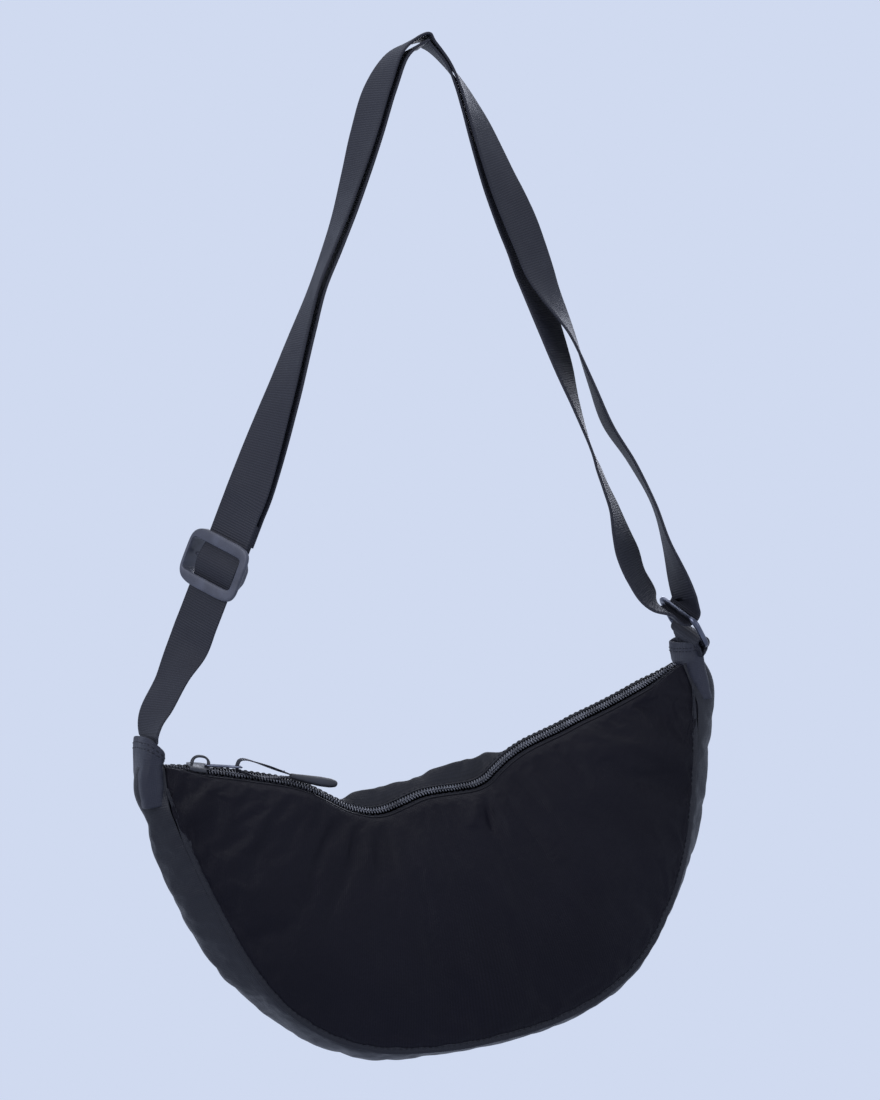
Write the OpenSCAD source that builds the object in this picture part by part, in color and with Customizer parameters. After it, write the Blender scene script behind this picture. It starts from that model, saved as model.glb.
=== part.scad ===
// A crescent shoulder bag that hangs by its strap. The origin is where the strap rests on what holds it up,
// +Z is up, +X runs along the bag to the end with the ring, and +Y runs to the back.

/* [Body] */
// Length of the zip's chord, from end to end
zip_span = 276; // [240:2:320]
// Depth of the zip's dip below its chord
zip_dip = 40; // [32:1:46]
// Height of the body, from the zip's chord to the bottom seam
body_h = 167; // [145:1:200]
// How far the side seams stand out beyond the zip's ends
end_reach = 4.5; // [3:0.5:6]
// Width of the gusset at the bottom
gusset_w = 62; // [50:1:84]
// How far the gusset bulges at the sides
gusset_puff = 11; // [6:1:13]
// How far the panels bulge
panel_puff = 11; // [6:1:14]
// How far the back panel's top rolls up above the zip
back_roll = 9; // [5:1:11]
// Tilt of the bag as it hangs, in degrees
hang_tilt = 10; // [4:1:14]

/* [Fabric] */
// Thickness of the outer cloth
shell_t = 0.6; // [0.4:0.1:0.9]
// Thickness of the wadding
wadding_t = 2.2; // [1.2:0.1:3]
// Thickness of the lining
lining_t = 0.4; // [0.3:0.1:0.6]
// Space left between layers of cloth
ply_gap = 0.3; // [0.25:0.05:0.4]
// Width of the raised seam round each panel
welt_w = 4.4; // [3:0.2:5]
// Thickness of the raised seam
welt_t = 1.3; // [1:0.1:1.6]
// Width of the inner pocket
pocket_w = 130; // [90:2:160]

/* [Zip] */
// Width of one row of the coil
coil_w = 2.4; // [1.8:0.1:3]
// Height of the coil
coil_h = 1.6; // [1.2:0.1:2]
// Gap between the two rows of the coil
coil_gap = 0.9; // [0.8:0.1:1.2]
// Width of one tape
tape_w = 7.2; // [6.8:0.1:8]
// Thickness of the tape
tape_t = 0.6; // [0.4:0.1:0.8]
// Length of the slider
slider_l = 13; // [10:0.5:15]
// Thickness of the slider's plates
plate_t = 1.1; // [0.9:0.1:1.4]
// Running gap round the slider and the pull
run_gap = 0.3; // [0.25:0.05:0.4]
// Height of the slider's bridge
bridge_h = 4.6; // [4.2:0.1:5.2]
// Diameter of the bridge and of the pull's wire
wire_d = 1.3; // [1:0.1:1.4]
// Length of the wire link
link_l = 18; // [15:0.5:22]
// Width of the wire link
link_w = 6; // [5:0.2:7]
// Length of the pull's ribbon
ribbon_l = 25; // [20:0.5:30]
// Length of the grip
grip_l = 26; // [20:0.5:30]
// Width of the grip
grip_w = 8; // [6:0.5:9]
// Height of the grip
grip_h = 5; // [3.5:0.5:6]

/* [Strap] */
// Width of the webbing
web_w = 25; // [22:1:28]
// Thickness of the webbing
web_t = 1.3; // [1:0.1:1.5]
// Height from the middle of the zip's chord to the top of the strap's hang
strap_drop = 341; // [320:2:420]
// Distance between the two strands where they hang together
strand_gap = 3.6; // [3:0.1:4.2]
// Thickness of each wall of the tabs
tab_wall = 4.2; // [3:0.1:5]
// Length of the straight stretch of strap that the adjuster slides on
straight_l = 90; // [84:2:96]
// Length of the fold that is sewn round the adjuster's middle bar
fold_l = 27; // [24:1:29]

/* [Adjuster] */
// Height of the adjuster's frame
frame_h = 28; // [26:0.5:30]
// Width of the top and bottom bars
bar_w = 5.6; // [4.6:0.2:6.4]
// Thickness of the top and bottom bars
bar_t = 2.3; // [1.8:0.1:3]
// Room beside the webbing at the frame's far rail
frame_play = 3.8; // [0.6:0.2:5]
// Width of the side rails
rail_w = 3.6; // [3:0.2:5]
// Diameter of the middle bar
middle_d = 2.2; // [1.8:0.1:2.6]

/* [Ring] */
// Diameter of the ring's wire
ring_d = 3.4; // [2.6:0.1:3.8]
// Distance between the ring's two long bars, centre to centre
ring_h = 17.5; // [16:0.5:22]
// Lean of the ring towards the front, in degrees
ring_lean = 25; // [10:1:30]
// Turn of the ring towards the strap, in degrees
ring_turn = 24; // [10:1:30]

/* [Hidden] */
$fn = 48;

// Colours as the bag shows them
nylon = "#1c1d25";
side_nylon = "#242833";
lining_cloth = "#2b2d35";
wadding_white = "#d8d8d4";
webbing = "#33343d";
coil_grey = "#6b6e78";
metal_grey = "#5a5e6c";
plastic_grey = "#3d404c";
grip_black = "#22232a";

// Small helpers
function unit(v) = v / norm(v);
function mix(a, b, share) = a + (b - a) * share;
function up_to(x) = max(0, x);
function power(x, e) = x <= 0 ? 0 : pow(x, e);
overrun = web_t;

// The zip: an arc that the slider runs on, then a straight rise to the right end
half_span = zip_span / 2;
web_r = web_w / 2;
left_slot = web_t + 2 * ply_gap;
right_slot = 2 * web_t + 2 * ply_gap;
tab_u = half_span + end_reach + web_t * 2;
function tab_face(slot) = tab_u - slot / 2 - tab_wall;
zip_low_share = -0.058;
zip_home_share = [-0.87, -0.14];
zip_low = zip_low_share * half_span;
home_run = zip_low - zip_home_share[0] * half_span;
home_rise = zip_dip + zip_home_share[1] * zip_dip;
zip_r = (home_run * home_run + home_rise * home_rise) / (2 * home_rise);
zip_centre = [zip_low, zip_r - zip_dip];
function arc_angle(u) = asin((u - zip_low) / zip_r);
arc_start = arc_angle(2 * ply_gap - tab_face(left_slot));
rise_to = [tab_face(right_slot) - 2 * ply_gap, 0];
to_end = rise_to - zip_centre;
arc_end = 90 + atan2(to_end[1], to_end[0]) - acos(zip_r / norm(to_end));
function arc_point(angle) = [zip_centre[0] + zip_r * sin(angle), zip_centre[1] - zip_r * cos(angle)];
rise_from = arc_point(arc_end);
rise_l = norm(rise_to - rise_from);
rise_angle = atan2(rise_to[1] - rise_from[1], rise_to[0] - rise_from[0]);
arc_l = (arc_end - arc_start) * PI / 180 * zip_r;
zip_l = arc_l + rise_l;
function zip_point(share, level = 0) =
    share * zip_l < arc_l
        ? let (angle = mix(arc_start, arc_end, share * zip_l / arc_l))
            arc_point(angle) + level * [-sin(angle), cos(angle)]
        : mix(rise_from, rise_to, (share * zip_l - arc_l) / rise_l)
            + level * [-sin(rise_angle), cos(rise_angle)];

// Across the zip
row_start = coil_gap / 2;
coil_half = row_start + coil_w;
slider_half = coil_half + run_gap + plate_t;
edge_y = slider_half + run_gap + ply_gap;
tape_edge = max(row_start + tape_w, edge_y + 2 * tape_t);
slider_bow = slider_l * slider_l / zip_r / 8;
slider_base = coil_h + run_gap + slider_bow;
slider_top = slider_base + plate_t;

// The seams: a rounded crescent, by an angle that runs from -90 at the left end to 90 at the right
seam_a = half_span + end_reach;
seam_exponent = 2.3;
seam_wave_share = 0.045;
seam_end_angle = 85;
function seam_point(angle) =
    let (wave = 1 + seam_wave_share * sin(4 * abs(angle)))
    [sign(angle) * seam_a * power(abs(sin(angle)), 2 / seam_exponent) * wave,
     -body_h * power(cos(angle), 2 / seam_exponent)];
function seam_out(angle) =
    let (along = seam_point(min(89, angle + 1)) - seam_point(max(-89, angle - 1)), way = along / norm(along))
    [way[1], -way[0]];
end_w = web_w + 2 * ply_gap;
gusset_exponent = 0.8;
function gusset_at(angle) = mix(end_w, gusset_w, power(cos(angle), gusset_exponent));

// A panel's middle surface, by shares along the zip and down the panel. The first two rows lie on the tape
panel_cols = 30;
panel_rows = 10;
fullness_exponent = 0.6;
roll_peak_share = 27 / 256;
function seam_angle(share) = mix(-seam_end_angle, seam_end_angle, share);
function panel_point(along, row, roll) =
    let (top = zip_point(along),
         angle = seam_angle(along),
         edge = seam_point(angle) - seam_out(angle) * (welt_w + 2 * ply_gap),
         down = up_to(row - 1) / (panel_rows - 1),
         y_top = row < 1 ? mix(edge_y, tape_edge + ply_gap, row) : tape_edge + ply_gap,
         flat = mix(top, edge, down),
         fullness = power(sin(180 * along), fullness_exponent),
         y = mix(y_top, gusset_at(angle) / 2, down) + panel_puff * fullness * sin(180 * down),
         rise = roll * fullness * down * pow(1 - down, 3) / roll_peak_share)
    [flat[0], y, flat[1] + rise];
function panel_normal(along, row, roll) =
    let (step = 0.004, row_step = 0.1, low = max(0, row - row_step), high = min(panel_rows, row + row_step),
         a = panel_point(min(1, along + step), row, roll) - panel_point(max(0, along - step), row, roll),
         b = panel_point(along, high, roll) - panel_point(along, low, roll))
    unit(cross(a, b));

// A closed sheet between two distances from a surface, given as a grid of [point, normal]
module sheet(grid, inner, outer) {
    n = len(grid);
    m = len(grid[0]);
    points = [for (side = [0, 1]) for (i = [0:n - 1]) for (j = [0:m - 1])
        grid[i][j][0] + grid[i][j][1] * (side == 0 ? inner[j] : outer[j])];
    function id(side, i, j) = side * n * m + i * m + j;
    faces = concat(
        [for (i = [0:n - 2]) for (j = [0:m - 2]) each
            [[id(1, i, j), id(1, i + 1, j + 1), id(1, i + 1, j)],
             [id(1, i, j), id(1, i, j + 1), id(1, i + 1, j + 1)],
             [id(0, i, j), id(0, i + 1, j), id(0, i + 1, j + 1)],
             [id(0, i, j), id(0, i + 1, j + 1), id(0, i, j + 1)]]],
        [for (i = [0:n - 2]) each
            [[id(0, i, 0), id(1, i + 1, 0), id(0, i + 1, 0)], [id(0, i, 0), id(1, i, 0), id(1, i + 1, 0)],
             [id(0, i, m - 1), id(0, i + 1, m - 1), id(1, i + 1, m - 1)],
             [id(0, i, m - 1), id(1, i + 1, m - 1), id(1, i, m - 1)]]],
        [for (j = [0:m - 2]) each
            [[id(0, 0, j), id(1, 0, j + 1), id(1, 0, j)], [id(0, 0, j), id(0, 0, j + 1), id(1, 0, j + 1)],
             [id(0, n - 1, j), id(1, n - 1, j), id(1, n - 1, j + 1)],
             [id(0, n - 1, j), id(1, n - 1, j + 1), id(0, n - 1, j + 1)]]]);
    polyhedron(points, faces);
}
function repeat(value, count) = [for (i = [1:count]) value];

// One layer of a panel. side is -1 for the front and 1 for the back
module panel_layer(side, roll, rows, inner, outer, shares = [0, 1], cols = panel_cols) {
    grid = [for (i = [0:cols]) [for (row = rows)
        let (along = mix(shares[0], shares[1], i / cols),
             p = panel_point(along, row, roll), n = panel_normal(along, row, roll))
        [p, n]]];
    mirror([0, side < 0 ? 1 : 0, 0])
        sheet(grid, inner, outer);
}

// The bag's own frame: origin at the middle of the zip's chord
hang_shift_share = 0.009;
bag_x = hang_shift_share * strap_drop;
module on_bag() {
    translate([bag_x, 0, -strap_drop]) rotate([0, -hang_tilt, 0]) children();
}
function bag_to_hang(p) =
    [bag_x + p[0] * cos(hang_tilt) - p[2] * sin(hang_tilt), p[1],
     -strap_drop + p[0] * sin(hang_tilt) + p[2] * cos(hang_tilt)];

all_rows = [for (j = [0:panel_rows]) j];
lining_row = 1.25;
shell_base = ply_gap;

module panel(side, roll) {
    count = len(all_rows);
    panel_layer(side, roll, all_rows, repeat(shell_base, count), repeat(shell_base + shell_t, count));
}
end_share = 0.02;
wadding_start_share = 0.4;
function wadding_at(row) = row < 2 ? 0 : row < 3 ? wadding_t * wadding_start_share : wadding_t;
module wadding(side, roll) {
    rows = [for (j = [2:panel_rows]) j];
    inner = [for (row = rows) -shell_base - wadding_at(row)];
    panel_layer(side, roll, rows, inner, repeat(-shell_base, len(rows)), [end_share, 1 - end_share]);
}
lining_top = -shell_base - tape_t - ply_gap;
function lining_at(row) = min(lining_top, -shell_base - wadding_at(row) - ply_gap);
module lining(side, roll) {
    rows = concat([lining_row], [for (j = [2:panel_rows]) j]);
    outer = [for (row = rows) lining_at(row)];
    panel_layer(side, roll, rows, [for (v = outer) v - lining_t], outer, [end_share, 1 - end_share]);
}

module front_panel() { color(nylon) on_bag() panel(-1, 0); }
module back_panel() { color(nylon) on_bag() panel(1, back_roll); }
module front_wadding() { color(wadding_white) on_bag() wadding(-1, 0); }
module back_wadding() { color(wadding_white) on_bag() wadding(1, back_roll); }
module front_lining() { color(lining_cloth) on_bag() lining(-1, 0); }
module back_lining() { color(lining_cloth) on_bag() lining(1, back_roll); }

// A slip pocket, sewn to the back lining
pocket_rows = [4, 5, 6, 7, 8];
pocket_limit_share = 0.4;
module inner_pocket() {
    outer = lining_at(panel_rows) - lining_t - ply_gap;
    reach = min(pocket_limit_share, pocket_w / zip_l / 2);
    color(lining_cloth) on_bag()
        panel_layer(1, back_roll, pocket_rows, repeat(outer - lining_t, len(pocket_rows)),
            repeat(outer, len(pocket_rows)), [0.5 - reach, 0.5 + reach], 12);
}

// The gusset, one band round the sides and the bottom
gusset_cols = 44;
gusset_rows = 6;
bottom_puff_share = 0.55;
module gusset_layer(inner, outer, edge_gap) {
    grid = [for (i = [0:gusset_cols]) [for (j = [0:gusset_rows])
        let (angle = seam_angle(i / gusset_cols), out = seam_out(angle),
             half = gusset_at(angle) / 2 - edge_gap, across = mix(1, -1, j / gusset_rows),
             puff = gusset_puff * mix(bottom_puff_share, 1, pow(sin(angle), 2)) * (1 - across * across),
             p = seam_point(angle) + out * puff)
        [[p[0], across * half, p[1]], [out[0], 0, out[1]]]]];
    sheet(grid, repeat(inner, gusset_rows + 1), repeat(outer, gusset_rows + 1));
}
welt_back = welt_t / 2 + ply_gap;
module gusset() {
    color(side_nylon) on_bag() gusset_layer(-shell_t, 0, welt_back);
}
module gusset_lining() {
    outer = -shell_t - ply_gap;
    color(lining_cloth) on_bag() gusset_layer(outer - lining_t, outer, welt_back + shell_t);
}

// The raised seam between a panel and the gusset
module seam_welt(side) {
    grid = [for (i = [0:gusset_cols]) [for (j = [0, 1])
        let (angle = seam_angle(i / gusset_cols), out = seam_out(angle),
             p = seam_point(angle) - out * welt_w * (1 - j))
        [[p[0], gusset_at(angle) / 2, p[1]], [0, 1, 0]]]];
    mirror([0, side < 0 ? 1 : 0, 0]) sheet(grid, repeat(-welt_t / 2, 2), repeat(welt_t / 2, 2));
}
module front_seam_welt() { color(side_nylon) on_bag() seam_welt(-1); }
module back_seam_welt() { color(side_nylon) on_bag() seam_welt(1); }

// A bar of rectangular section that follows the zip. across and level are its limits
zip_cols = 64;
module zip_bar(across, level) {
    low = [for (i = [0:zip_cols]) zip_point(i / zip_cols, level[0])];
    high = [for (i = [zip_cols:-1:0]) zip_point(i / zip_cols, level[1])];
    rotate([90, 0, 0]) translate([0, 0, -across[1]]) linear_extrude(across[1] - across[0])
        polygon(concat(low, high));
}
module zip_tape_front() { color(nylon) on_bag() zip_bar([-tape_edge, -row_start], [-tape_t, 0]); }
module zip_tape_back() { color(nylon) on_bag() zip_bar([row_start, tape_edge], [-tape_t, 0]); }
module zip_coil_front() { color(coil_grey) on_bag() zip_bar([-coil_half, -row_start], [0, coil_h]); }
module zip_coil_back() { color(coil_grey) on_bag() zip_bar([row_start, coil_half], [0, coil_h]); }

// The slider, at its home near the left end, in a frame that follows the zip
home_angle = arc_angle(zip_home_share[0] * half_span);
module on_slider() {
    on_bag() translate([zip_centre[0], 0, zip_centre[1]]) rotate([0, -home_angle, 0])
        translate([0, 0, -zip_r]) children();
}
post_t = coil_gap - 2 * run_gap;
bridge_r = min(bridge_h - wire_d / 2, slider_l / 2 - wire_d);
nose_share = 0.7;
wall_share = 0.7;
module plate(level) {
    nose = slider_half * nose_share;
    translate([0, 0, level]) linear_extrude(plate_t)
        polygon([[-slider_l / 2, -slider_half], [slider_l / 2 - nose, -slider_half], [slider_l / 2, -nose],
            [slider_l / 2, nose], [slider_l / 2 - nose, slider_half], [-slider_l / 2, slider_half]]);
}
module zip_slider() {
    color(metal_grey) on_slider() {
        plate(slider_base);
        plate(-tape_t - run_gap - plate_t);
        translate([slider_l / 6, -post_t / 2, -tape_t - run_gap - plate_t / 2])
            cube([slider_l / 5, post_t, tape_t + run_gap + slider_base + plate_t]);
        for (side = [-1, 1])
            translate([-slider_l / 2, side > 0 ? coil_half + run_gap : -slider_half, run_gap + slider_bow])
                cube([slider_l * wall_share, plate_t, coil_h + plate_t / 2]);
        translate([0, 0, slider_top - wire_d / 4]) rotate([90, 0, 0])
            rotate_extrude(angle = 180) translate([bridge_r, 0]) circle(d = wire_d);
    }
}

// The wire link turns on its near bar, inside the bridge
pin_share = 0.75;
pin_x = (bridge_r - wire_d - run_gap) * pin_share;
pin_z = slider_top + wire_d / 2 + run_gap;
link_pitch = 20;
module on_link() {
    on_slider() translate([pin_x, 0, pin_z]) rotate([0, -link_pitch, 0]) children();
}
module bar_y(l, d) { rotate([90, 0, 0]) cylinder(h = l, d = d, center = true); }

// A closed loop of round wire with bent corners, from a bar at the origin up to a bar at height l
module wire_loop(l, half, d) {
    bend = d;
    for (z = [0, l]) translate([0, 0, z]) bar_y(2 * (half - bend), d);
    for (side = [-1, 1]) {
        translate([0, side * half, bend]) cylinder(h = l - 2 * bend, d = d);
        for (top = [0, 1])
            translate([0, side * (half - bend), top == 1 ? l - bend : bend])
                mirror([0, side > 0 ? 0 : 1, 0]) mirror([0, 0, 1 - top]) rotate([90, 0, 90])
                    rotate_extrude(angle = 90) translate([bend, 0]) circle(d = d);
    }
}
module pull_wire() { color(metal_grey) on_link() rotate([0, 90, 0]) wire_loop(link_l, link_w / 2, wire_d); }

// The ribbon goes round the link's far bar, and the grip is sewn to its end
ribbon_t = wire_d / 2;
ribbon_w = link_w - wire_d - 2 * run_gap;
grip_pitch = -7;
loop_r = wire_d / 2 + run_gap + ribbon_t + wire_d;
module on_grip() {
    on_link() translate([link_l, 0, 0]) rotate([0, -grip_pitch, 0]) children();
}
module drop_shape(r, l) {
    hull() {
        circle(r = r);
        translate([l, 0]) circle(r = ribbon_t);
    }
}
module pull_ribbon() {
    color(nylon) on_grip() rotate([90, 0, 0]) linear_extrude(ribbon_w, center = true)
        difference() {
            drop_shape(loop_r, ribbon_l - ribbon_t);
            drop_shape(loop_r - ribbon_t, ribbon_l - 6 * ribbon_t);
        }
}
grip_middle_share = 0.55;
grip_width_shares = [0.6, 0.35];
module pull_grip() {
    middle = grip_l * grip_middle_share;
    color(grip_black) on_grip() translate([ribbon_l + run_gap, 0, 0]) hull() {
        translate([grip_h / 4, 0, 0]) bar_y(grip_w * grip_width_shares[0], grip_h / 2);
        translate([middle, 0, 0]) bar_y(grip_w - grip_h, grip_h);
        for (side = [-1, 1]) translate([middle, side * (grip_w - grip_h) / 2, 0]) sphere(d = grip_h);
        translate([grip_l - grip_h / 4, 0, 0]) bar_y(grip_w * grip_width_shares[1], grip_h / 2);
    }
}

// The two tabs. The bag swings about a line through both, where the strap's ends are sewn in
tab_top_r = web_r - ply_gap;
module strap_tab(side, slot_t) {
    depth = -seam_point(seam_end_angle)[1] - 2 * ply_gap;
    thick = slot_t + 2 * tab_wall;
    translate([side * tab_u, 0, 0]) difference() {
        union() {
            rotate([0, 90, 0]) cylinder(h = thick, r = tab_top_r, center = true);
            translate([-thick / 2, -end_w / 2, -depth]) cube([thick, end_w, depth - web_r / 4]);
        }
        translate([-slot_t / 2, -web_w, -web_r - ply_gap]) cube([slot_t, 2 * web_w, 2 * web_w]);
    }
}
module left_strap_tab() { color(side_nylon) on_bag() strap_tab(-1, left_slot); }
module right_strap_tab() { color(side_nylon) on_bag() strap_tab(1, right_slot); }

// The ring leans to the front, and above its lower bar it turns towards the strap
ring_r = ring_d / 2;
eye_gap = 2 * ply_gap;
loop_rise = web_r + ring_r + eye_gap + web_t + ply_gap * 2;
ring_half = web_r + 4 * ply_gap + ring_r;
module on_ring_foot() {
    on_bag() translate([tab_u, 0, 0]) rotate([ring_lean, 0, 0]) translate([0, 0, loop_rise]) children();
}
module ring() {
    color(metal_grey) on_ring_foot() rotate([0, -ring_turn, 0]) wire_loop(ring_h, ring_half, ring_d);
}
module ring_webbing_loop() {
    strip_l = loop_rise - ring_r - eye_gap - web_t / 2;
    color(webbing) on_ring_foot() {
        translate([0, 0, -loop_rise]) rotate([0, 90, 0]) cylinder(h = 2 * web_t, r = web_r, center = true);
        translate([-web_t, -web_r, -loop_rise]) cube([2 * web_t, web_w, strip_l]);
        rotate([90, 0, 0]) difference() {
            cylinder(h = web_w, r = ring_r + eye_gap + web_t, center = true);
            cylinder(h = web_w + overrun, r = ring_r + eye_gap, center = true);
        }
    }
}

// The strap's route. A row holds shares of the way out and down from the top of the hang to an anchor, a
// share of the depth there, the webbing's twist in degrees, the distance between its strands as a share, and
// how far it has turned to lie square to the ring
foot_shares = [1.05, 1.45];
left_anchor = bag_to_hang([-tab_u, 0, 0]);
left_mouth = bag_to_hang([-tab_u, 0, web_r * foot_shares[0]]);
left_foot = bag_to_hang([-tab_u, 0, web_r * foot_shares[1]]);
function ring_point(across, up) =
    let (x = across * cos(ring_turn) - up * sin(ring_turn),
         z = loop_rise + across * sin(ring_turn) + up * cos(ring_turn))
    bag_to_hang([tab_u + x, -z * sin(ring_lean), z * cos(ring_lean)]);
ring_way = unit(bag_to_hang([0, cos(ring_lean), sin(ring_lean)]) - bag_to_hang([0, 0, 0]));
eye_r = 2 * ring_r + 2 * web_t;
ring_play = 3 * ply_gap;
eye_base = ring_h + eye_r - ring_r - ring_play - web_t / 2;
right_anchor = ring_point(0, ring_h);
crown_z = web_t / 2 + strand_gap;
straight_step = straight_l / 6;
adjuster_lay = 3 * web_t + 2 * ply_gap;
adjuster_lean = [0.319, -0.24, 0.94];
adjuster_way = adjuster_lean / norm(adjuster_lean);
adjuster_twist = 51;
adjuster_shares = [0.747, 0.727];
adjuster_at = [adjuster_shares[0] * left_anchor[0], 0, mix(crown_z, left_anchor[2], adjuster_shares[1])];
function route(rows, anchor, depth) =
    [for (r = rows)
        [r[0] * anchor[0], r[1] * depth, mix(crown_z, anchor[2], r[2]), r[3], r[4] * strand_gap, r[5]]];

left_low_shares = [[0.962, 0.12, 0.922, 76, 1.2, 0], [0.906, 0.3, 0.879, 62, 1.2, 0]];
left_high_shares = [[0.557, -0.47, 0.512, 63, 1.15, 0], [0.512, -0.43, 0.462, 72, 1.05, 0],
    [0.463, -0.36, 0.407, 81, 1, 0], [0.411, -0.28, 0.352, 89, 1, 0], [0.354, -0.2, 0.298, 87, 1, 0],
    [0.3, -0.12, 0.243, 82, 1, 0], [0.254, -0.06, 0.186, 75, 1, 0], [0.212, -0.02, 0.131, 69, 1, 0],
    [0.163, 0, 0.071, 69, 1, 0], [0.098, 0, 0.023, 81, 1, 0], [0, 0, 0, 90, 1, 0]];
right_shares = [[0.046, 0, 0.01, 80, 0.69, 0], [0.11, 0, 0.042, 75, 0.5, 0], [0.16, 0, 0.077, 67, 0.6, 0],
    [0.202, 0, 0.115, 58, 0.66, 0], [0.244, 0, 0.157, 49, 0.77, 0], [0.318, 0, 0.237, 38, 1.12, 0],
    [0.356, 0, 0.275, 33, 1.28, 0], [0.397, 0.02, 0.317, 31, 1.48, 0], [0.434, 0.05, 0.359, 33, 1.53, 0],
    [0.467, 0.1, 0.4, 36, 1.7, 0], [0.508, 0.15, 0.439, 47, 2, 0], [0.555, 0.2, 0.477, 58, 2.11, 0],
    [0.602, 0.26, 0.519, 68, 2.19, 0], [0.67, 0.38, 0.6, 77, 2.2, 0], [0.732, 0.5, 0.672, 82, 2.2, 0],
    [0.827, 0.64, 0.739, 79, 2.2, 0], [0.911, 0.78, 0.812, 75, 2.2, 0], [0.964, 0.9, 0.889, 74, 2.2, 0.3]];
// Where the inner strand leaves the outer one, counted in rows from the top of the hang
split_row = 10;
inner_shares = [[0.549, 0.26, 0.557, 49, 1, 0], [0.603, 0.38, 0.634, 63, 1, 0],
    [0.661, 0.5, 0.711, 72, 1, 0], [0.691, 0.56, 0.749, 75, 1, 0], [0.72, 0.64, 0.784, 78, 1, 0],
    [0.751, 0.72, 0.822, 82, 1, 0.1], [0.777, 0.8, 0.864, 92, 1, 0.3], [0.801, 0.86, 0.902, 104, 1, 0.45],
    [0.831, 0.92, 0.94, 106, 1, 0.7], [0.845, 0.97, 0.973, 95, 1, 0.9]];

left_sewn = [for (p = [left_anchor, left_mouth, left_foot]) [p[0], 0, p[2], 90, 0, 0]];
left_keys = concat(left_sewn, route(left_low_shares, left_anchor, web_w),
    [for (i = [-3:3]) let (p = adjuster_at + adjuster_way * straight_step * i)
        [p[0], p[1], p[2], adjuster_twist, adjuster_lay, 0]],
    route(left_high_shares, left_anchor, web_w));
return_key = len(left_sewn) + len(left_low_shares) + 4;
crown_key = len(left_keys) - 1;
function ring_key(across, up) = let (p = ring_point(across, up)) [p[0], p[1], p[2], 90, 0, 1];
outer_keys = concat(left_keys, route(right_shares, right_anchor, right_anchor[1]),
    [ring_key(eye_r, eye_base)]);
outer_after = ring_key(eye_r, eye_base - eye_r);

// A smooth line through the keys
sub = 2;
function curve(a, b, c, d, t) =
    0.5 * (2 * b + (c - a) * t + (2 * a - 5 * b + 4 * c - d) * t * t + (3 * b - a - 3 * c + d) * t * t * t);
function smooth(keys, before, after) =
    let (all = concat([before], keys, [after]))
    concat([for (i = [1:len(all) - 3]) for (k = [0:sub - 1])
        curve(all[i - 1], all[i], all[i + 1], all[i + 2], k / sub)], [keys[len(keys) - 1]]);
function place(key) = [key[0], key[1], key[2]];

// Each section of the webbing: its centre, the ways to its back edge and out of its outer face, and its lay
function sections(line) =
    [for (i = [0:len(line) - 1])
        let (t = unit(place(line[min(len(line) - 1, i + 1)]) - place(line[max(0, i - 1)])),
             b0 = unit([0, 1, 0] - t * t[1]), o = cross(t, b0), twist = line[i][3],
             plain = b0 * sin(twist) + o * cos(twist),
             turned = mix(plain, ring_way, line[i][5]), b = unit(turned - t * (turned * t)))
        [place(line[i]), b, cross(t, b), line[i][4]]];
first_key = outer_keys[0];
outer_line = smooth(outer_keys, 2 * first_key - outer_keys[1], outer_after);
outer = sections(outer_line);
eye_steps = 12;
eye = [for (k = [1:eye_steps - 1])
    let (angle = -180 * k / eye_steps, p = ring_point(eye_r * cos(angle), eye_base + eye_r * sin(angle)),
         middle = ring_point(0, eye_base))
    [p, ring_way, unit(p - middle), 0]];
split_at = sub * (crown_key + split_row);
function inner_of(s) = let (p = s[0] - s[2] * s[3]) [p, s[1], -s[2], 0];
function inner_key(i) = let (p = inner_of(outer[i])[0]) [p[0], p[1], p[2], outer_line[i][3], 0, 0];
inner_line = smooth(concat([inner_key(split_at)], route(inner_shares, right_anchor, right_anchor[1]),
    [ring_key(-eye_r, eye_base)]), inner_key(split_at - sub), ring_key(-eye_r, eye_base - eye_r));
inner_sections = sections(inner_line);
inner_low = [for (i = [len(inner_sections) - 1:-1:1]) let (s = inner_sections[i]) [s[0], s[1], -s[2], 0]];
inner_high = [for (i = [split_at:-1:sub * return_key]) inner_of(outer[i])];
strap_sections = concat(outer, eye, inner_low, inner_high);

// A strip of webbing through its sections
module ribbon(list, w, t) {
    n = len(list);
    points = [for (s = list) for (corner = [[-1, -1], [1, -1], [1, 1], [-1, 1]])
        s[0] + s[1] * corner[0] * w / 2 + s[2] * corner[1] * t / 2];
    sides = [for (i = [0:n - 2]) for (k = [0:3]) each
        let (a = 4 * i + k, b = 4 * i + (k + 1) % 4) [[a, b + 4, b], [a, a + 4, b + 4]]];
    last = 4 * (n - 1);
    ends = [[0, 1, 2], [0, 2, 3], [last, last + 2, last + 1], [last, last + 3, last + 2]];
    polyhedron(points, concat(sides, ends));
}
module strap_webbing() {
    color(webbing) {
        ribbon(strap_sections, web_w, web_t);
        on_bag() translate([-tab_u, 0, 0]) rotate([0, 90, 0])
            cylinder(h = web_t * 0.96, r = web_r - ply_gap / 10, center = true);
    }
}

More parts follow.
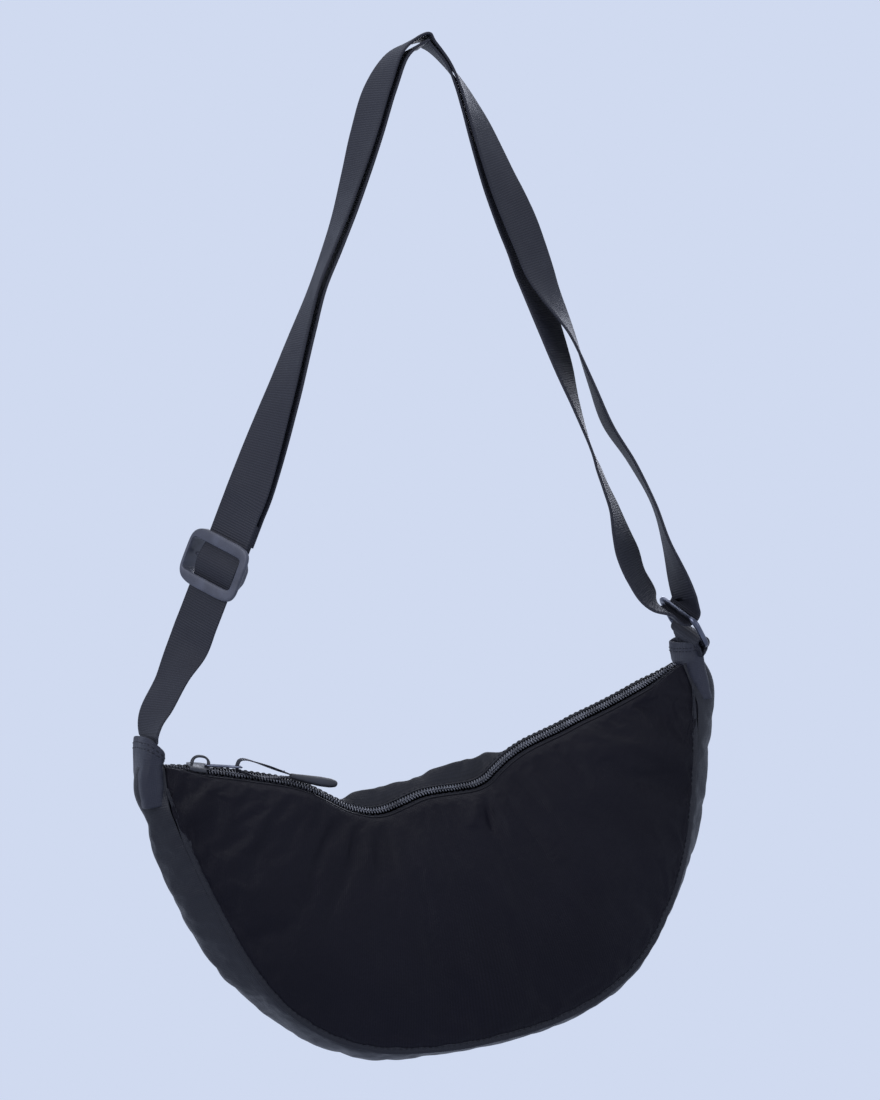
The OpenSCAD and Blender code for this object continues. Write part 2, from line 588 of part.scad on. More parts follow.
// The adjuster, in a frame with +Z up the strap and +Y behind it
adjuster_out = sections([for (i = [-1:1]) let (p = adjuster_at + adjuster_way * straight_step * i)
    [p[0], p[1], p[2], adjuster_twist, 0, 0]])[1];
module on_strap() {
    x = -adjuster_out[1];
    y = -adjuster_out[2];
    z = adjuster_way;
    multmatrix([[x[0], y[0], z[0], adjuster_at[0]], [x[1], y[1], z[1], adjuster_at[1]],
        [x[2], y[2], z[2], adjuster_at[2]], [0, 0, 0, 1]]) children();
}
fold_r = middle_d / 2 + ply_gap / 2 + web_t;
fold_front = web_t / 2 + ply_gap;
middle_y = fold_front + fold_r;
bar_front = -fold_front - bar_t;
near_rail = web_r + 2 * ply_gap;
far_rail = web_r + frame_play;
frame_w = near_rail + far_rail + rail_w;
module strap_adjuster() {
    color(plastic_grey) on_strap() {
        for (end = [-1, 1])
            translate([-far_rail - rail_w / 2, bar_front, end * (frame_h - bar_w) / 2 - bar_w / 2])
                cube([frame_w, bar_t, bar_w]);
        for (side = [-1, 1])
            translate([side > 0 ? near_rail : -far_rail - rail_w, 0, 0])
                rotate([90, 0, 90]) linear_extrude(rail_w) polygon([
                    [bar_front, -frame_h / 2], [bar_front + bar_t, -frame_h / 2],
                    [middle_y + middle_d, -middle_d], [middle_y + middle_d, middle_d],
                    [bar_front + bar_t, frame_h / 2], [bar_front, frame_h / 2]]);
        translate([(near_rail - far_rail) / 2, middle_y, 0]) rotate([0, 90, 0])
            cylinder(h = frame_w, d = middle_d, center = true);
    }
}
module strap_end_fold() {
    color(webbing) on_strap() rotate([90, 0, 90]) linear_extrude(web_w, center = true) difference() {
        union() {
            translate([middle_y, 0]) circle(r = fold_r);
            translate([fold_front, 0]) square([2 * web_t, fold_l]);
        }
        translate([middle_y, 0]) circle(r = fold_r - web_t);
    }
}

front_panel();
back_panel();
gusset();
front_wadding();
back_wadding();
front_lining();
back_lining();
gusset_lining();
inner_pocket();
front_seam_welt();
back_seam_welt();
zip_tape_front();
zip_tape_back();
zip_coil_front();
zip_coil_back();
left_strap_tab();
right_strap_tab();
zip_slider();
pull_wire();
pull_ribbon();
pull_grip();
strap_webbing();
ring_webbing_loop();
ring();
strap_adjuster();
strap_end_fold();
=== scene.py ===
import math
import bmesh
import bpy
import numpy as np
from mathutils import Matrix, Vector, noise


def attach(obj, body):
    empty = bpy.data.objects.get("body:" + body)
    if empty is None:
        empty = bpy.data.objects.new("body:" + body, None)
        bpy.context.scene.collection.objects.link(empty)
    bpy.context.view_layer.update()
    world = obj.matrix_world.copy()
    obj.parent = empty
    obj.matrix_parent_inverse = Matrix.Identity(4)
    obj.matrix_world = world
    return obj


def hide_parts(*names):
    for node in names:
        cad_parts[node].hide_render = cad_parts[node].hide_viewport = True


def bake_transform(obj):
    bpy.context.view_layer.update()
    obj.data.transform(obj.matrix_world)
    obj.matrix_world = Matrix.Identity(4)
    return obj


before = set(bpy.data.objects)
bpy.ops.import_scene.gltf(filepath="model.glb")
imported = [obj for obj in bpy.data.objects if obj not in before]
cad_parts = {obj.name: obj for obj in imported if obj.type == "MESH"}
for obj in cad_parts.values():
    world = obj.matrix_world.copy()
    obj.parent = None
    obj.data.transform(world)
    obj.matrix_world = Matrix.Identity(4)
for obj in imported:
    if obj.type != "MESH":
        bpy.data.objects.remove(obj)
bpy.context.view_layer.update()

mm = 0.001

# ---- stage
camera = {"aim": (9.36, -2.5, -257.04), "azimuth": -15, "distance": 1300, "focus": 2549, "high": 1100,
          "sensor": 24}
backdropColour = "d0daf0"
floorLevel = -0.64


def rad(degrees):
    return degrees * math.pi / 180


def linear(hexColour):
    out = []
    for i in (0, 2, 4):
        c = int(hexColour[i:i + 2], 16) / 255
        out.append(c / 12.92 if c <= 0.04045 else ((c + 0.055) / 1.055) ** 2.4)
    return (*out, 1)


def addNode(tree, kind, settings=None, links=None):
    node = tree.nodes.new(kind)
    for key, value in (settings or {}).items():
        if isinstance(key, int) or key in node.inputs:
            node.inputs[key].default_value = value
        else:
            setattr(node, key, value)
    for key, socket in (links or {}).items():
        tree.links.new(socket, node.inputs[key])
    return node


def newMaterial(name):
    material = bpy.data.materials.new(name)
    material.use_nodes = True
    material.node_tree.nodes.clear()
    return material, material.node_tree


def ramp(tree, source, stops):
    node = addNode(tree, "ShaderNodeValToRGB", {}, {"Fac": source})
    elements = node.color_ramp.elements
    while len(elements) < len(stops):
        elements.new(0.5)
    for element, (place, colour) in zip(elements, stops):
        element.position = place
        element.color = linear(colour) if isinstance(colour, str) else (colour, colour, colour, 1)
    return node.outputs["Color"]


def clothMaterial(name, look):
    # Cloth from its thread count up: two crossed waves for the weave, a crinkle, and a painted highlight that
    # makes the weave's crests lighter than its hollows
    material, tree = newMaterial(name)
    place = addNode(tree, "ShaderNodeAttribute", {"attribute_name": "cloth"}).outputs["Vector"]
    solid = addNode(tree, "ShaderNodeTexCoord").outputs["Object"]
    heights = []
    for turn, share in ((0, look["warp"]), (90, look["weft"])):
        turned = addNode(tree, "ShaderNodeMapping", {"Rotation": (0, 0, rad(turn + look["bias"]))},
                         {"Vector": place})
        wave = addNode(tree, "ShaderNodeTexWave", {"Scale": 0.314 / look["thread"],
                                                   "Distortion": look["slub"], "Detail": 2,
                                                   "Detail Scale": 1.5},
                       {"Vector": turned.outputs["Vector"]})
        heights.append(addNode(tree, "ShaderNodeMath", {"operation": "MULTIPLY", 1: share},
                               {0: wave.outputs["Fac"]}).outputs[0])
    weave = addNode(tree, "ShaderNodeMath", {"operation": "ADD"}, {0: heights[0], 1: heights[1]}).outputs[0]
    crinkle = addNode(tree, "ShaderNodeTexNoise", {"Scale": 1000 / look["crinkleSize"], "Detail": 4,
                                                   "Roughness": 0.62, "Distortion": 0.6},
                      {"Vector": solid}).outputs["Fac"]
    cloud = addNode(tree, "ShaderNodeTexNoise", {"Scale": 1000 / look["cloudSize"], "Detail": 3},
                    {"Vector": solid})
    fine = addNode(tree, "ShaderNodeBump", {"Strength": look["weaveDepth"], "Distance": 0.0002},
                   {"Height": weave})
    deep = addNode(tree, "ShaderNodeBump", {"Strength": look["crinkleDepth"],
                                            "Distance": look["crinkleSize"] * mm * 0.25},
                   {"Height": crinkle, "Normal": fine.outputs["Normal"]})
    tone = addNode(tree, "ShaderNodeMath", {"operation": "MULTIPLY_ADD", 1: 0.45, 2: 0.1},
                   {0: cloud.outputs["Fac"]}).outputs[0]
    # painted highlight: the weave's crests lighter and its hollows darker, added to the cloud's random tone
    crestHighlightAndTone = addNode(tree, "ShaderNodeMath", {"operation": "MULTIPLY_ADD", 1: 0.45},
                   {0: weave, 2: tone}).outputs[0]
    colour = ramp(tree, crestHighlightAndTone, [(0.1, look["dark"]), (0.5, look["colour"]), (0.95, look["light"])])
    rough = ramp(tree, crinkle, [(0.3, look["rough"] - 0.06), (0.7, look["rough"] + 0.07)])
    shader = addNode(tree, "ShaderNodeBsdfPrincipled",
                     {"IOR": 1.53, "Specular IOR Level": look["shine"], "Sheen Weight": look["sheen"],
                      "Sheen Roughness": 0.45, "Sheen Tint": linear(look["sheenColour"])},
                     {"Base Color": colour, "Roughness": rough, "Normal": deep.outputs["Normal"]})
    addNode(tree, "ShaderNodeOutputMaterial", {}, {"Surface": shader.outputs["BSDF"]})
    return material


def hardMaterial(name, look):
    # Metal and moulded plastic: a fine grain in the finish, wear on it, and handling marks in the gloss
    material, tree = newMaterial(name)
    solid = addNode(tree, "ShaderNodeTexCoord").outputs["Object"]
    stretch = addNode(tree, "ShaderNodeMapping", {"Scale": look["stretch"]},
                      {"Vector": solid}).outputs["Vector"]
    grain = addNode(tree, "ShaderNodeTexNoise", {"Scale": 1000 / look["grain"], "Detail": 5,
                                                 "Roughness": 0.6},
                    {"Vector": stretch}).outputs["Fac"]
    marks = addNode(tree, "ShaderNodeTexNoise", {"Scale": 1000 / look["markSize"], "Detail": 3},
                    {"Vector": solid}).outputs["Fac"]
    bump = addNode(tree, "ShaderNodeBump", {"Strength": look["grainDepth"], "Distance": 0.0001},
                   {"Height": grain})
    colour = ramp(tree, marks, [(0.3, look["dark"]), (0.55, look["colour"]), (0.8, look["light"])])
    mixed = addNode(tree, "ShaderNodeMath", {"operation": "MULTIPLY_ADD", 1: 0.4},
                    {0: grain, 2: marks}).outputs[0]
    rough = ramp(tree, mixed, [(0.3, look["rough"] - 0.08), (0.9, look["rough"] + 0.1)])
    shader = addNode(tree, "ShaderNodeBsdfPrincipled", {"Metallic": look["metallic"], "IOR": look["ior"],
                                                        "Coat Weight": look["coat"], "Coat Roughness": 0.25},
                     {"Base Color": colour, "Roughness": rough, "Normal": bump.outputs["Normal"]})
    addNode(tree, "ShaderNodeOutputMaterial", {}, {"Surface": shader.outputs["BSDF"]})
    return material


# Thread spacings are real ones, drawn about three times as coarse where a pixel would lose them
clothBase = {"warp": 0.5, "weft": 0.5, "bias": 0, "thread": 0.9, "slub": 0.6, "weaveDepth": 0.5,
             "crinkleSize": 7, "crinkleDepth": 0.3, "cloudSize": 60, "rough": 0.5, "shine": 0.16,
             "sheen": 0.03, "sheenColour": "8a90a8"}
clothLooks = {
    # plain-woven nylon with a washed crinkle: near black, soft gloss on every fold
    "crinkledNylon": {"dark": "09080e", "colour": "0c0b13", "light": "14131d", "shine": 0.09, "sheen": 0.015},
    # the same cloth, its colour painted lighter for the light that falls on it: painted light on the gusset,
    # the seam welts and the back panel
    "paintedLitNylon": {"dark": "101116", "colour": "15161d", "light": "1d1f28", "crinkleDepth": 0.35,
                  "shine": 0.22},
    # the same cloth folded in four at the tabs and drawn taut, its colour painted paler for the strong light
    # from the left that falls on them
    "foldedNylonPaintedLit": {"dark": "181922", "colour": "20222d", "light": "2b2d3a", "crinkleDepth": 0.3,
                    "shine": 0.26},
    # tightly woven nylon webbing: fine cross ribs and a satin face
    "wovenWebbing": {"dark": "1b1c22", "colour": "23242b", "light": "2d2e37", "thread": 1.3, "warp": 0.25,
                     "weft": 0.75, "weaveDepth": 0.8, "crinkleSize": 20, "crinkleDepth": 0.08, "rough": 0.6,
                     "shine": 0.2},
    # herringbone zip tape: flat and matt
    "herringboneTape": {"dark": "0e0e12", "colour": "141419", "light": "1c1d24", "bias": 45, "thread": 1.1,
                        "weaveDepth": 0.7, "crinkleSize": 15, "crinkleDepth": 0.05, "rough": 0.68},
    # grosgrain ribbon on the pull: clear cross ribs
    "grosgrain": {"dark": "17181e", "colour": "202129", "light": "2b2c36", "thread": 0.9, "warp": 0.15,
                  "weft": 0.85, "weaveDepth": 1, "crinkleSize": 12, "crinkleDepth": 0.05},
    # spun polyester sewing thread: a twisted, slightly shiny line
    "sewingThread": {"dark": "14151a", "colour": "1c1d24", "light": "292a34", "thread": 0.5, "bias": 35,
                     "weaveDepth": 1, "crinkleDepth": 0.05, "rough": 0.5},
    # thin plain polyester lining
    "polyesterLining": {"dark": "23252c", "colour": "2b2d35", "light": "363842", "thread": 0.8,
                        "weaveDepth": 0.4, "crinkleSize": 14, "crinkleDepth": 0.4, "rough": 0.5},
    # carded polyester wadding: a soft white fleece
    "cardedWadding": {"dark": "c4c4c0", "colour": "d8d8d4", "light": "ebebe8", "thread": 1.6, "slub": 9,
                      "weaveDepth": 1, "crinkleSize": 5, "crinkleDepth": 0.8, "rough": 0.95, "sheen": 0.4},
}
hardBase = {"stretch": (1, 1, 1), "grain": 0.6, "markSize": 9, "grainDepth": 0.15, "metallic": 0,
            "ior": 1.5, "coat": 0}
hardLooks = {
    # extruded nylon coil: smooth dark plastic, its colour painted a paler grey, a painted highlight standing
    # in for the glints on each turn
    "coilPaintedGlints": {"dark": "2e3038", "colour": "5c5f69", "light": "9295a0", "rough": 0.35, "ior": 1.53},
    # zinc casting under dark stoving enamel: black with soft bright edges
    "enamelledZinc": {"dark": "191a1f", "colour": "25272e", "light": "3d4049", "rough": 0.34},
    # zinc casting with a dark grey plating: satin metal with bright worn edges
    "platedZinc": {"dark": "4a4d59", "colour": "646876", "light": "8b8f9d", "rough": 0.32, "metallic": 1},
    # moulded acetal slide: dark grey, satin and opaque
    "mouldedAcetal": {"dark": "363842", "colour": "40424d", "light": "4c4f5c", "rough": 0.42, "ior": 1.48,
                      "grain": 1.2},
    # moulded soft-touch grip: black and nearly matt
    "softMoulding": {"dark": "191a20", "colour": "1f2027", "light": "2a2c35", "rough": 0.55, "grain": 0.9,
                     "grainDepth": 0.3},
}
materials = {}
for lookName, look in clothLooks.items():
    materials[lookName] = clothMaterial(lookName, {**clothBase, **look})
for lookName, look in hardLooks.items():
    materials[lookName] = hardMaterial(lookName, {**hardBase, **look})
print("materials made")

# ---- the bag's own frame: u runs along the bag, v up, y to the back
bagFrame = {"x": 3.069, "z": -341, "tilt": 10}
tiltCos = math.cos(rad(bagFrame["tilt"]))
tiltSin = math.sin(rad(bagFrame["tilt"]))


def hang(u, y, v):
    # places in the bag's frame, to points in the shared frame, all in millimetres
    u, y, v = np.broadcast_arrays(u, y, v)
    # near the zip everything tips a little towards the front, as the bag's own weight pulls it
    off = v - np.interp(u, zipTable[:, 0], zipTable[:, 1])
    near = np.exp(-(off / zipLine["tipReach"]) ** 2) * smoothStep(zipLine["points"][-1][0] - np.abs(u), 3, 22)
    v = v + (zipLine["tip"] * np.clip(y, -9, 3) + 0.1 * np.clip(y - 3, 0, 6)) * near
    return np.stack([bagFrame["x"] + u * tiltCos - v * tiltSin, y * 1.0,
                     bagFrame["z"] + u * tiltSin + v * tiltCos], -1)


def slopedFrame(u, v, slope, shared):
    # maps x along, y to the back and z up, at a sloping place, to the shared frame
    c, s = math.cos(rad(slope)), math.sin(rad(slope))

    def place(points):
        p = np.asarray(points, float)
        return shared(u + p[..., 0] * c - p[..., 2] * s, p[..., 1], v + p[..., 0] * s + p[..., 2] * c)
    return place


def asPoints(x, y, z):
    return np.stack([x, y, z], -1)


def wayIn(place, way):
    # a way in a local frame, as a way in the shared frame
    return unit(place(way) - place((0, 0, 0)))


def unit(v):
    v = np.asarray(v, float)
    return v / np.maximum(np.linalg.norm(v, axis=-1, keepdims=True), 1e-9)


def mix(a, b, share):
    return a + (b - a) * share


def reachAlong(line):
    # how far along a line each of its points is
    return np.concatenate([[0], np.cumsum(np.linalg.norm(np.diff(line, axis=0), axis=1))])


def waysAlong(line):
    return unit(np.gradient(line, axis=0))


def readAt(at, known, table):
    # every column of a table, read between its rows
    return np.stack([np.interp(at, known, column) for column in np.transpose(table)], -1)


def upFrom(way):
    # the way up from a way along, both in u and v
    return np.stack([-way[..., 1], way[..., 0]], -1)


def curveAt(a, b, c, d, t):
    # a smooth curve's place, at a share t of the way from b to c
    return 0.5 * (2 * b + (c - a) * t + (2 * a - 5 * b + 4 * c - d) * t * t
                  + (3 * b - a - 3 * c + d) * t ** 3)


def sheetOf(across, down):
    # the two shares at every place of a sheet, from those of its columns and rows
    return np.meshgrid(across, down, indexing="ij")


def smoothStep(x, low, high):
    t = np.clip((x - low) / (high - low), 0, 1)
    return t * t * (3 - 2 * t)


def softNoise(x, y, seed):
    # smooth noise over two arrays, from -1 to 1
    x, y = np.broadcast_arrays(np.asarray(x, float), np.asarray(y, float))
    flat = [noise.noise((a, b, seed * 7.31)) for a, b in zip(x.ravel(), y.ravel())]
    return np.array(flat).reshape(x.shape)


def throughPoints(points, count):
    # a smooth line through points, as evenly spaced places
    p = np.asarray(points, float)
    p = np.vstack([2 * p[0] - p[1], p, 2 * p[-1] - p[-2]])
    out = []
    for i in range(1, len(p) - 2):
        for t in np.linspace(0, 1, 24, endpoint=False):
            out.append(curveAt(*p[i - 1:i + 3], t))
    out.append(p[-2])
    return evenly(np.array(out), count)


def evenly(line, count):
    steps = reachAlong(line)
    at = np.linspace(0, steps[-1], count)
    return readAt(at, steps, line)


# ---- meshes
def grid(points, across, along, closed=False):
    # quads over a grid of points. closed joins its last column to its first
    n, m = points.shape[:2]
    faces = []
    for i in range(n - 1):
        for j in range(m if closed else m - 1):
            k = (j + 1) % m
            faces.append((i * m + j, i * m + k, (i + 1) * m + k, (i + 1) * m + j))
    cloth = np.stack([np.broadcast_to(value, (n, m)) for value in (across, along, 0.0)], -1).reshape(-1, 3)
    return points.reshape(-1, 3), faces, cloth


def sweep(centres, sides, ups, profile, scale=None, closed=False, loop=False):
    # a closed profile carried along a line. loop joins the end to the start
    profile = np.asarray(profile, float)
    size = np.ones(len(centres)) if scale is None else np.asarray(scale, float)
    size = size.reshape(len(centres), 1, -1) * np.ones((1, 1, 2))
    points = centres[:, None] + sides[:, None] * profile[None, :, :1] * size[..., :1] \
        + ups[:, None] * profile[None, :, 1:] * size[..., 1:]
    steps = reachAlong(centres)
    vertices, faces, cloth = grid(points, profile[None, :, 0], steps[:, None], closed=True)
    m, n = len(profile), len(centres)
    if loop:
        for j in range(m):
            faces.append(((n - 1) * m + j, (n - 1) * m + (j + 1) % m, (j + 1) % m, j))
    else:
        faces.append(tuple(range(m - 1, -1, -1)))
        faces.append(tuple(range((n - 1) * m, n * m)))
    return vertices, faces, cloth


def oval(width, height, count=12, power=2.0):
    a = np.arange(count) * 2 * math.pi / count
    c, s = np.cos(a), np.sin(a)
    return np.stack([np.sign(c) * np.abs(c) ** (2 / power) * width / 2,
                     np.sign(s) * np.abs(s) ** (2 / power) * height / 2], -1)


def tube(line, diameter, count=10, loop=False):
    line = np.asarray(line, float)
    if loop:
        ways = unit(np.roll(line, -1, 0) - np.roll(line, 1, 0))
    else:
        ways = waysAlong(line)
    side = unit(np.cross(ways[0], [0.13, 0.91, 0.4]))
    sides = []
    for way in ways:
        side = unit(side - way * np.dot(side, way))
        sides.append(side)
    sides = np.array(sides)
    return sweep(line, sides, np.cross(ways, sides), oval(diameter, diameter, count), loop=loop)


def joined(parts):
    vertices, faces, cloth, start = [], [], [], 0
    for v, f, c in parts:
        vertices.append(v)
        faces += [tuple(i + start for i in face) for face in f]
        cloth.append(c)
        start += len(v)
    return np.vstack(vertices), faces, np.vstack(cloth)


def rounded(piece, levels):
    # rounds a piece off between its points
    if levels:
        smooth = piece.modifiers.new("smooth", "SUBSURF")
        smooth.levels = levels
        smooth.render_levels = levels


def thicken(piece, thick):
    # gives a sheet its thickness, on the inner side
    cloth = piece.modifiers.new("cloth", "SOLIDIFY")
    cloth.thickness = thick * mm
    cloth.offset = -1


def makePiece(name, parts, finish, body=None, replaces=(), levels=0, outward=False):
    vertices, faces, cloth = joined(parts) if isinstance(parts, list) else parts
    mesh = bpy.data.meshes.new(name)
    mesh.from_pydata((vertices * mm).tolist(), [], faces)
    attribute = mesh.attributes.new("cloth", "FLOAT_VECTOR", "POINT")
    attribute.data.foreach_set("vector", np.ascontiguousarray(cloth, np.float32).ravel())
    mesh.shade_smooth()
    mesh.materials.append(materials[finish])
    piece = bpy.data.objects.new(name, mesh)
    bpy.context.scene.collection.objects.link(piece)
    rounded(piece, levels)
    if body:
        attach(piece, body)
    if replaces:
        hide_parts(*replaces)
    if outward:
        faceOut(piece)
    return piece


def faceOut(piece):
    # turns the faces to point out
    work = bmesh.new()
    work.from_mesh(piece.data)
    bmesh.ops.recalc_face_normals(work, faces=work.faces)
    work.to_mesh(piece.data)
    work.free()


# ---- the zip's line and the seams' lines
zipLine = {
    "points": [(-137.8, 0), (-119.9, -5.6), (-95.6, -13.5), (-71.2, -23), (-52.6, -36.3), (-45.4, -40.4),
               (-37.6, -43.3), (-29.5, -43.7), (-19.7, -41.7), (-9.8, -39.6), (-0.2, -39.7), (8, -40.3),
               (17.6, -40.6), (24.8, -38.8), (31.1, -34.7), (38.9, -30), (48, -26.2), (58.3, -23.5),
               (68.8, -21), (79.1, -18), (89.5, -15.5), (101.4, -12.3), (113.4, -8.6), (125.3, -4.8),
               (137.8, 0)],
    "count": 1201, "tip": 0.36, "tipReach": 14, "soften": 41}
zipTable = throughPoints(zipLine["points"], zipLine["count"])
zipLength = float(np.linalg.norm(np.diff(zipTable, axis=0), axis=1).sum())
zipShares = np.linspace(0, 1, zipLine["count"])
zipWays = waysAlong(zipTable)
softBar = np.ones(zipLine["soften"]) / zipLine["soften"]
softWays = unit(np.stack([np.convolve(np.pad(way, zipLine["soften"] // 2, "edge"), softBar, "valid")
                          for way in zipWays.T], -1))


def zipAt(share):
    # place of the zip and the way up from it, at shares of its length
    return readAt(share, zipShares, zipTable), upFrom(unit(readAt(share, zipShares, softWays)))


def hangFlat(line, y):
    # a line of u and v, hung at a depth y
    return hang(line[:, 0], y, line[:, 1])


seams = {"reach": 142.5, "height": 167, "exponent": 2.3, "wave": 0.045, "end": 85, "endWidth": 25.6,
         "width": 62, "weltWidth": 4.4, "weltThick": 1.5, "weltSteps": 260,
         "dent": [(-90, 0), (-20, 0.2), (-12, 1.4), (0, 2), (16, 1.9), (24, 2.2), (32, 3), (38, 3.9),
                  (44, 4.4), (50, 3.2), (56, 2), (62, 1), (70, 0.6), (78, 0.4), (84, 0), (90, 0)]}


def roundSeam(angle):
    a = np.radians(angle)
    power = 2 / seams["exponent"]
    u = np.sign(a) * seams["reach"] * np.abs(np.sin(a)) ** power * (1 + seams["wave"] * np.sin(4 * np.abs(a)))
    return np.stack([u, -seams["height"] * np.maximum(np.cos(a), 0) ** power], -1)


def inwards(line, angle):
    # the way in from a seam line, from its places a degree to each side
    return upFrom(unit(line(np.minimum(89, angle + 1)) - line(np.maximum(-89, angle - 1))))


def seamPoint(angle):
    # the round seam line, pulled in by the dents
    return roundSeam(angle) + inwards(roundSeam, angle) * np.interp(angle, *zip(*seams["dent"]))[..., None]


def seamOut(angle):
    return -inwards(seamPoint, angle)


def halfWidth(angle):
    share = np.maximum(np.cos(np.radians(angle)), 0) ** 0.8
    return mix(seams["endWidth"], seams["width"], share) / 2


# ---- panels, padded shells from the zip to the seams
panels = {"columns": 180, "rows": 72, "clothHigh": 165, "puff": 11, "thick": 0.7, "tuck": 2.6,
          "hemOut": 7.95, "growth": 0.02, "pressure": 4, "bending": 0.25, "frames": 22, "cap": 4.5,
          "rollAt": 0.075, "edgePuff": 2.4, "hemFlat": 0.35, "hemPuff": 2.6, "foldScale": 1.5,
          "backRoll": [(-137, 0), (-60, 0), (-54, 1.6), (-50, 2.3), (-46, 3.5), (-42, 5.4), (-36, 7.2),
                       (-28, 7.4), (-20, 6), (-12, 5), (-5, 5), (0, 6.2), (6, 7.9), (12, 9.2), (19, 9.6),
                       (26, 7.3), (32, 4.5), (38, 1.8), (44, 0.7), (50, 0.3), (58, 0), (137, 0)]}


def panelSurface(side, along, down, roll=1.0):
    # a panel without its folds: arrays of u, y and v. side is -1 at the front and 1 at the back
    top, _ = zipAt(along)
    angle = mix(-seams["end"], seams["end"], along)
    tuck = panels["tuck"] * smoothStep(np.minimum(along, 1 - along), -0.01, 0.05)
    tuck = tuck + 0.5 * softNoise(angle / 3, 0 * angle, 17)
    edge = seamPoint(angle) - seamOut(angle) * tuck[..., None]
    place = mix(top, edge, down[..., None])
    full = np.maximum(np.sin(np.pi * along), 0) ** 0.6
    y = mix(panels["hemOut"], halfWidth(angle) - 0.4, down) + panels["puff"] * full * np.sin(np.pi * down)
    # a padded edge that stands over the seam
    rim = 1 - down
    y = y + panels["hemPuff"] * full * (1 - np.exp(-down / 0.02)) * np.exp(-(down / 0.12) ** 2)
    y = y + panels["edgePuff"] * full * (1 - np.exp(-rim / 0.011)) * np.exp(-(rim / 0.1) ** 2)
    rise = (0.4 + 0.9 * full * np.exp(-((down - 0.035) / 0.03) ** 2)) * panels["hemFlat"]
    if side > 0:
        us, rises = zip(*panels["backRoll"])
        crest = np.interp(top[..., 0], us, rises) * roll
        drop = (top[..., 1] - edge[..., 1]) * panels["rollAt"] * np.clip(crest / 6, 0, 1)
        step = down / panels["rollAt"]
        rise = rise + (crest + drop) * step * np.exp(1 - step)
        y = y - 0.2 * crest * np.exp(-((down - 0.09) / 0.08) ** 2)
    return np.stack([place[..., 0], side * y, place[..., 1] + rise], -1)


def surfaceWays(points, side):
    # ways out of a grid of points, on one side of the bag
    ways = unit(np.cross(*np.gradient(points, axis=(0, 1))))
    return ways * np.sign((ways[..., 1] * side).mean())


def panelRows(count):
    # rows of a panel, closer together near the zip
    share = np.linspace(0, 1, count)
    return mix(share ** 1.6, share, 0.55)


def nearFold(x, y, start, end, width):
    # 1 along a fold line, fading to its sides and ends
    start, end = np.array(start, float), np.array(end, float)
    way = end - start
    length = np.linalg.norm(way)
    way = way / length
    dx, dy = x - start[0], y - start[1]
    along = (dx * way[0] + dy * way[1]) / length
    off = dx * way[1] - dy * way[0]
    middle = np.clip(along, 0, 1)
    return np.exp(-(off / width) ** 2) * np.sin(np.pi * np.clip(middle * 0.9 + 0.1, 0, 1)) ** 0.7 \
        * smoothStep(along, -0.1, 0.12) * (1 - smoothStep(along, 0.8, 1.1))


# Folds seen on the front: from and to in the bag's frame, width, and how far out they stand
frontFolds = [
    ((20, -42), (19, -64), 2.4, -3), ((26, -40), (27, -68), 3.6, 1.6), ((15, -43), (8, -60), 3.8, 1.9),
    ((-51, -41), (-61, -66), 3.2, 1.5), ((-44, -45), (-47, -74), 3, 1.6), ((-56, -38), (-75, -62), 3, -1.2),
    ((-36, -46), (-34, -78), 4, -1), ((-24, -46), (-15, -84), 5, 1), ((-8, -44), (2, -80), 4.5, -0.9),
    ((44, -32), (52, -60), 4, 0.9), ((62, -26), (74, -52), 5, -0.8), ((-90, -20), (-104, -48), 5, 0.9),
    ((-118, -12), (-120, -40), 4, -0.9), ((110, -14), (116, -52), 4, 1), ((126, -10), (126, -44), 3, -1.3),
    ((131, -18), (121, -70), 3.5, 1.2), ((64, -70), (58, -140), 11, 1.3), ((84, -60), (92, -120), 10, -1)]
backFolds = [
    ((30, -36), (22, -70), 5, -1.6), ((-20, -40), (-34, -78), 5, 1.3), ((-60, -32), (-78, -70), 5, 1.2),
    ((80, -22), (88, -66), 6, -1.3), ((110, -14), (112, -50), 4, 1.1), ((-112, -14), (-112, -50), 4, -1.2)]


def foldHeights(points, along, down, folds, seed):
    # how far the cloth stands out from the plain panel, in millimetres
    x, y = points[..., 0], points[..., 2]
    edge = np.sin(np.pi * np.clip(down, 0, 1)) ** 0.5 * np.sin(np.pi * np.clip(along, 0.001, 0.999)) ** 0.3
    height = 1.5 * softNoise(x / 46, y / 52, seed) + 0.7 * softNoise(x / 17, y / 26, seed + 1)
    reach = along * zipLength
    height = height + 1.3 * softNoise(reach / 8.5, down * 3, seed + 2) * np.exp(-(down / 0.11) ** 1.3)
    height = height + 0.9 * softNoise(reach / 8, down * 6, seed + 3) * np.exp(-((1 - down) / 0.07) ** 1.3)
    for start, end, width, amount in folds:
        height = height + amount * panels["foldScale"] * nearFold(x, y, start, end, width)
    return height * edge


# light nylon over padding: it stretches little, and its own pressure fills it
clothNature = {"quality": 6, "mass": 0.15, "tension_stiffness": 25, "compression_stiffness": 25,
               "shear_stiffness": 10, "vertex_group_mass": "held", "pin_stiffness": 1, "use_pressure": True}


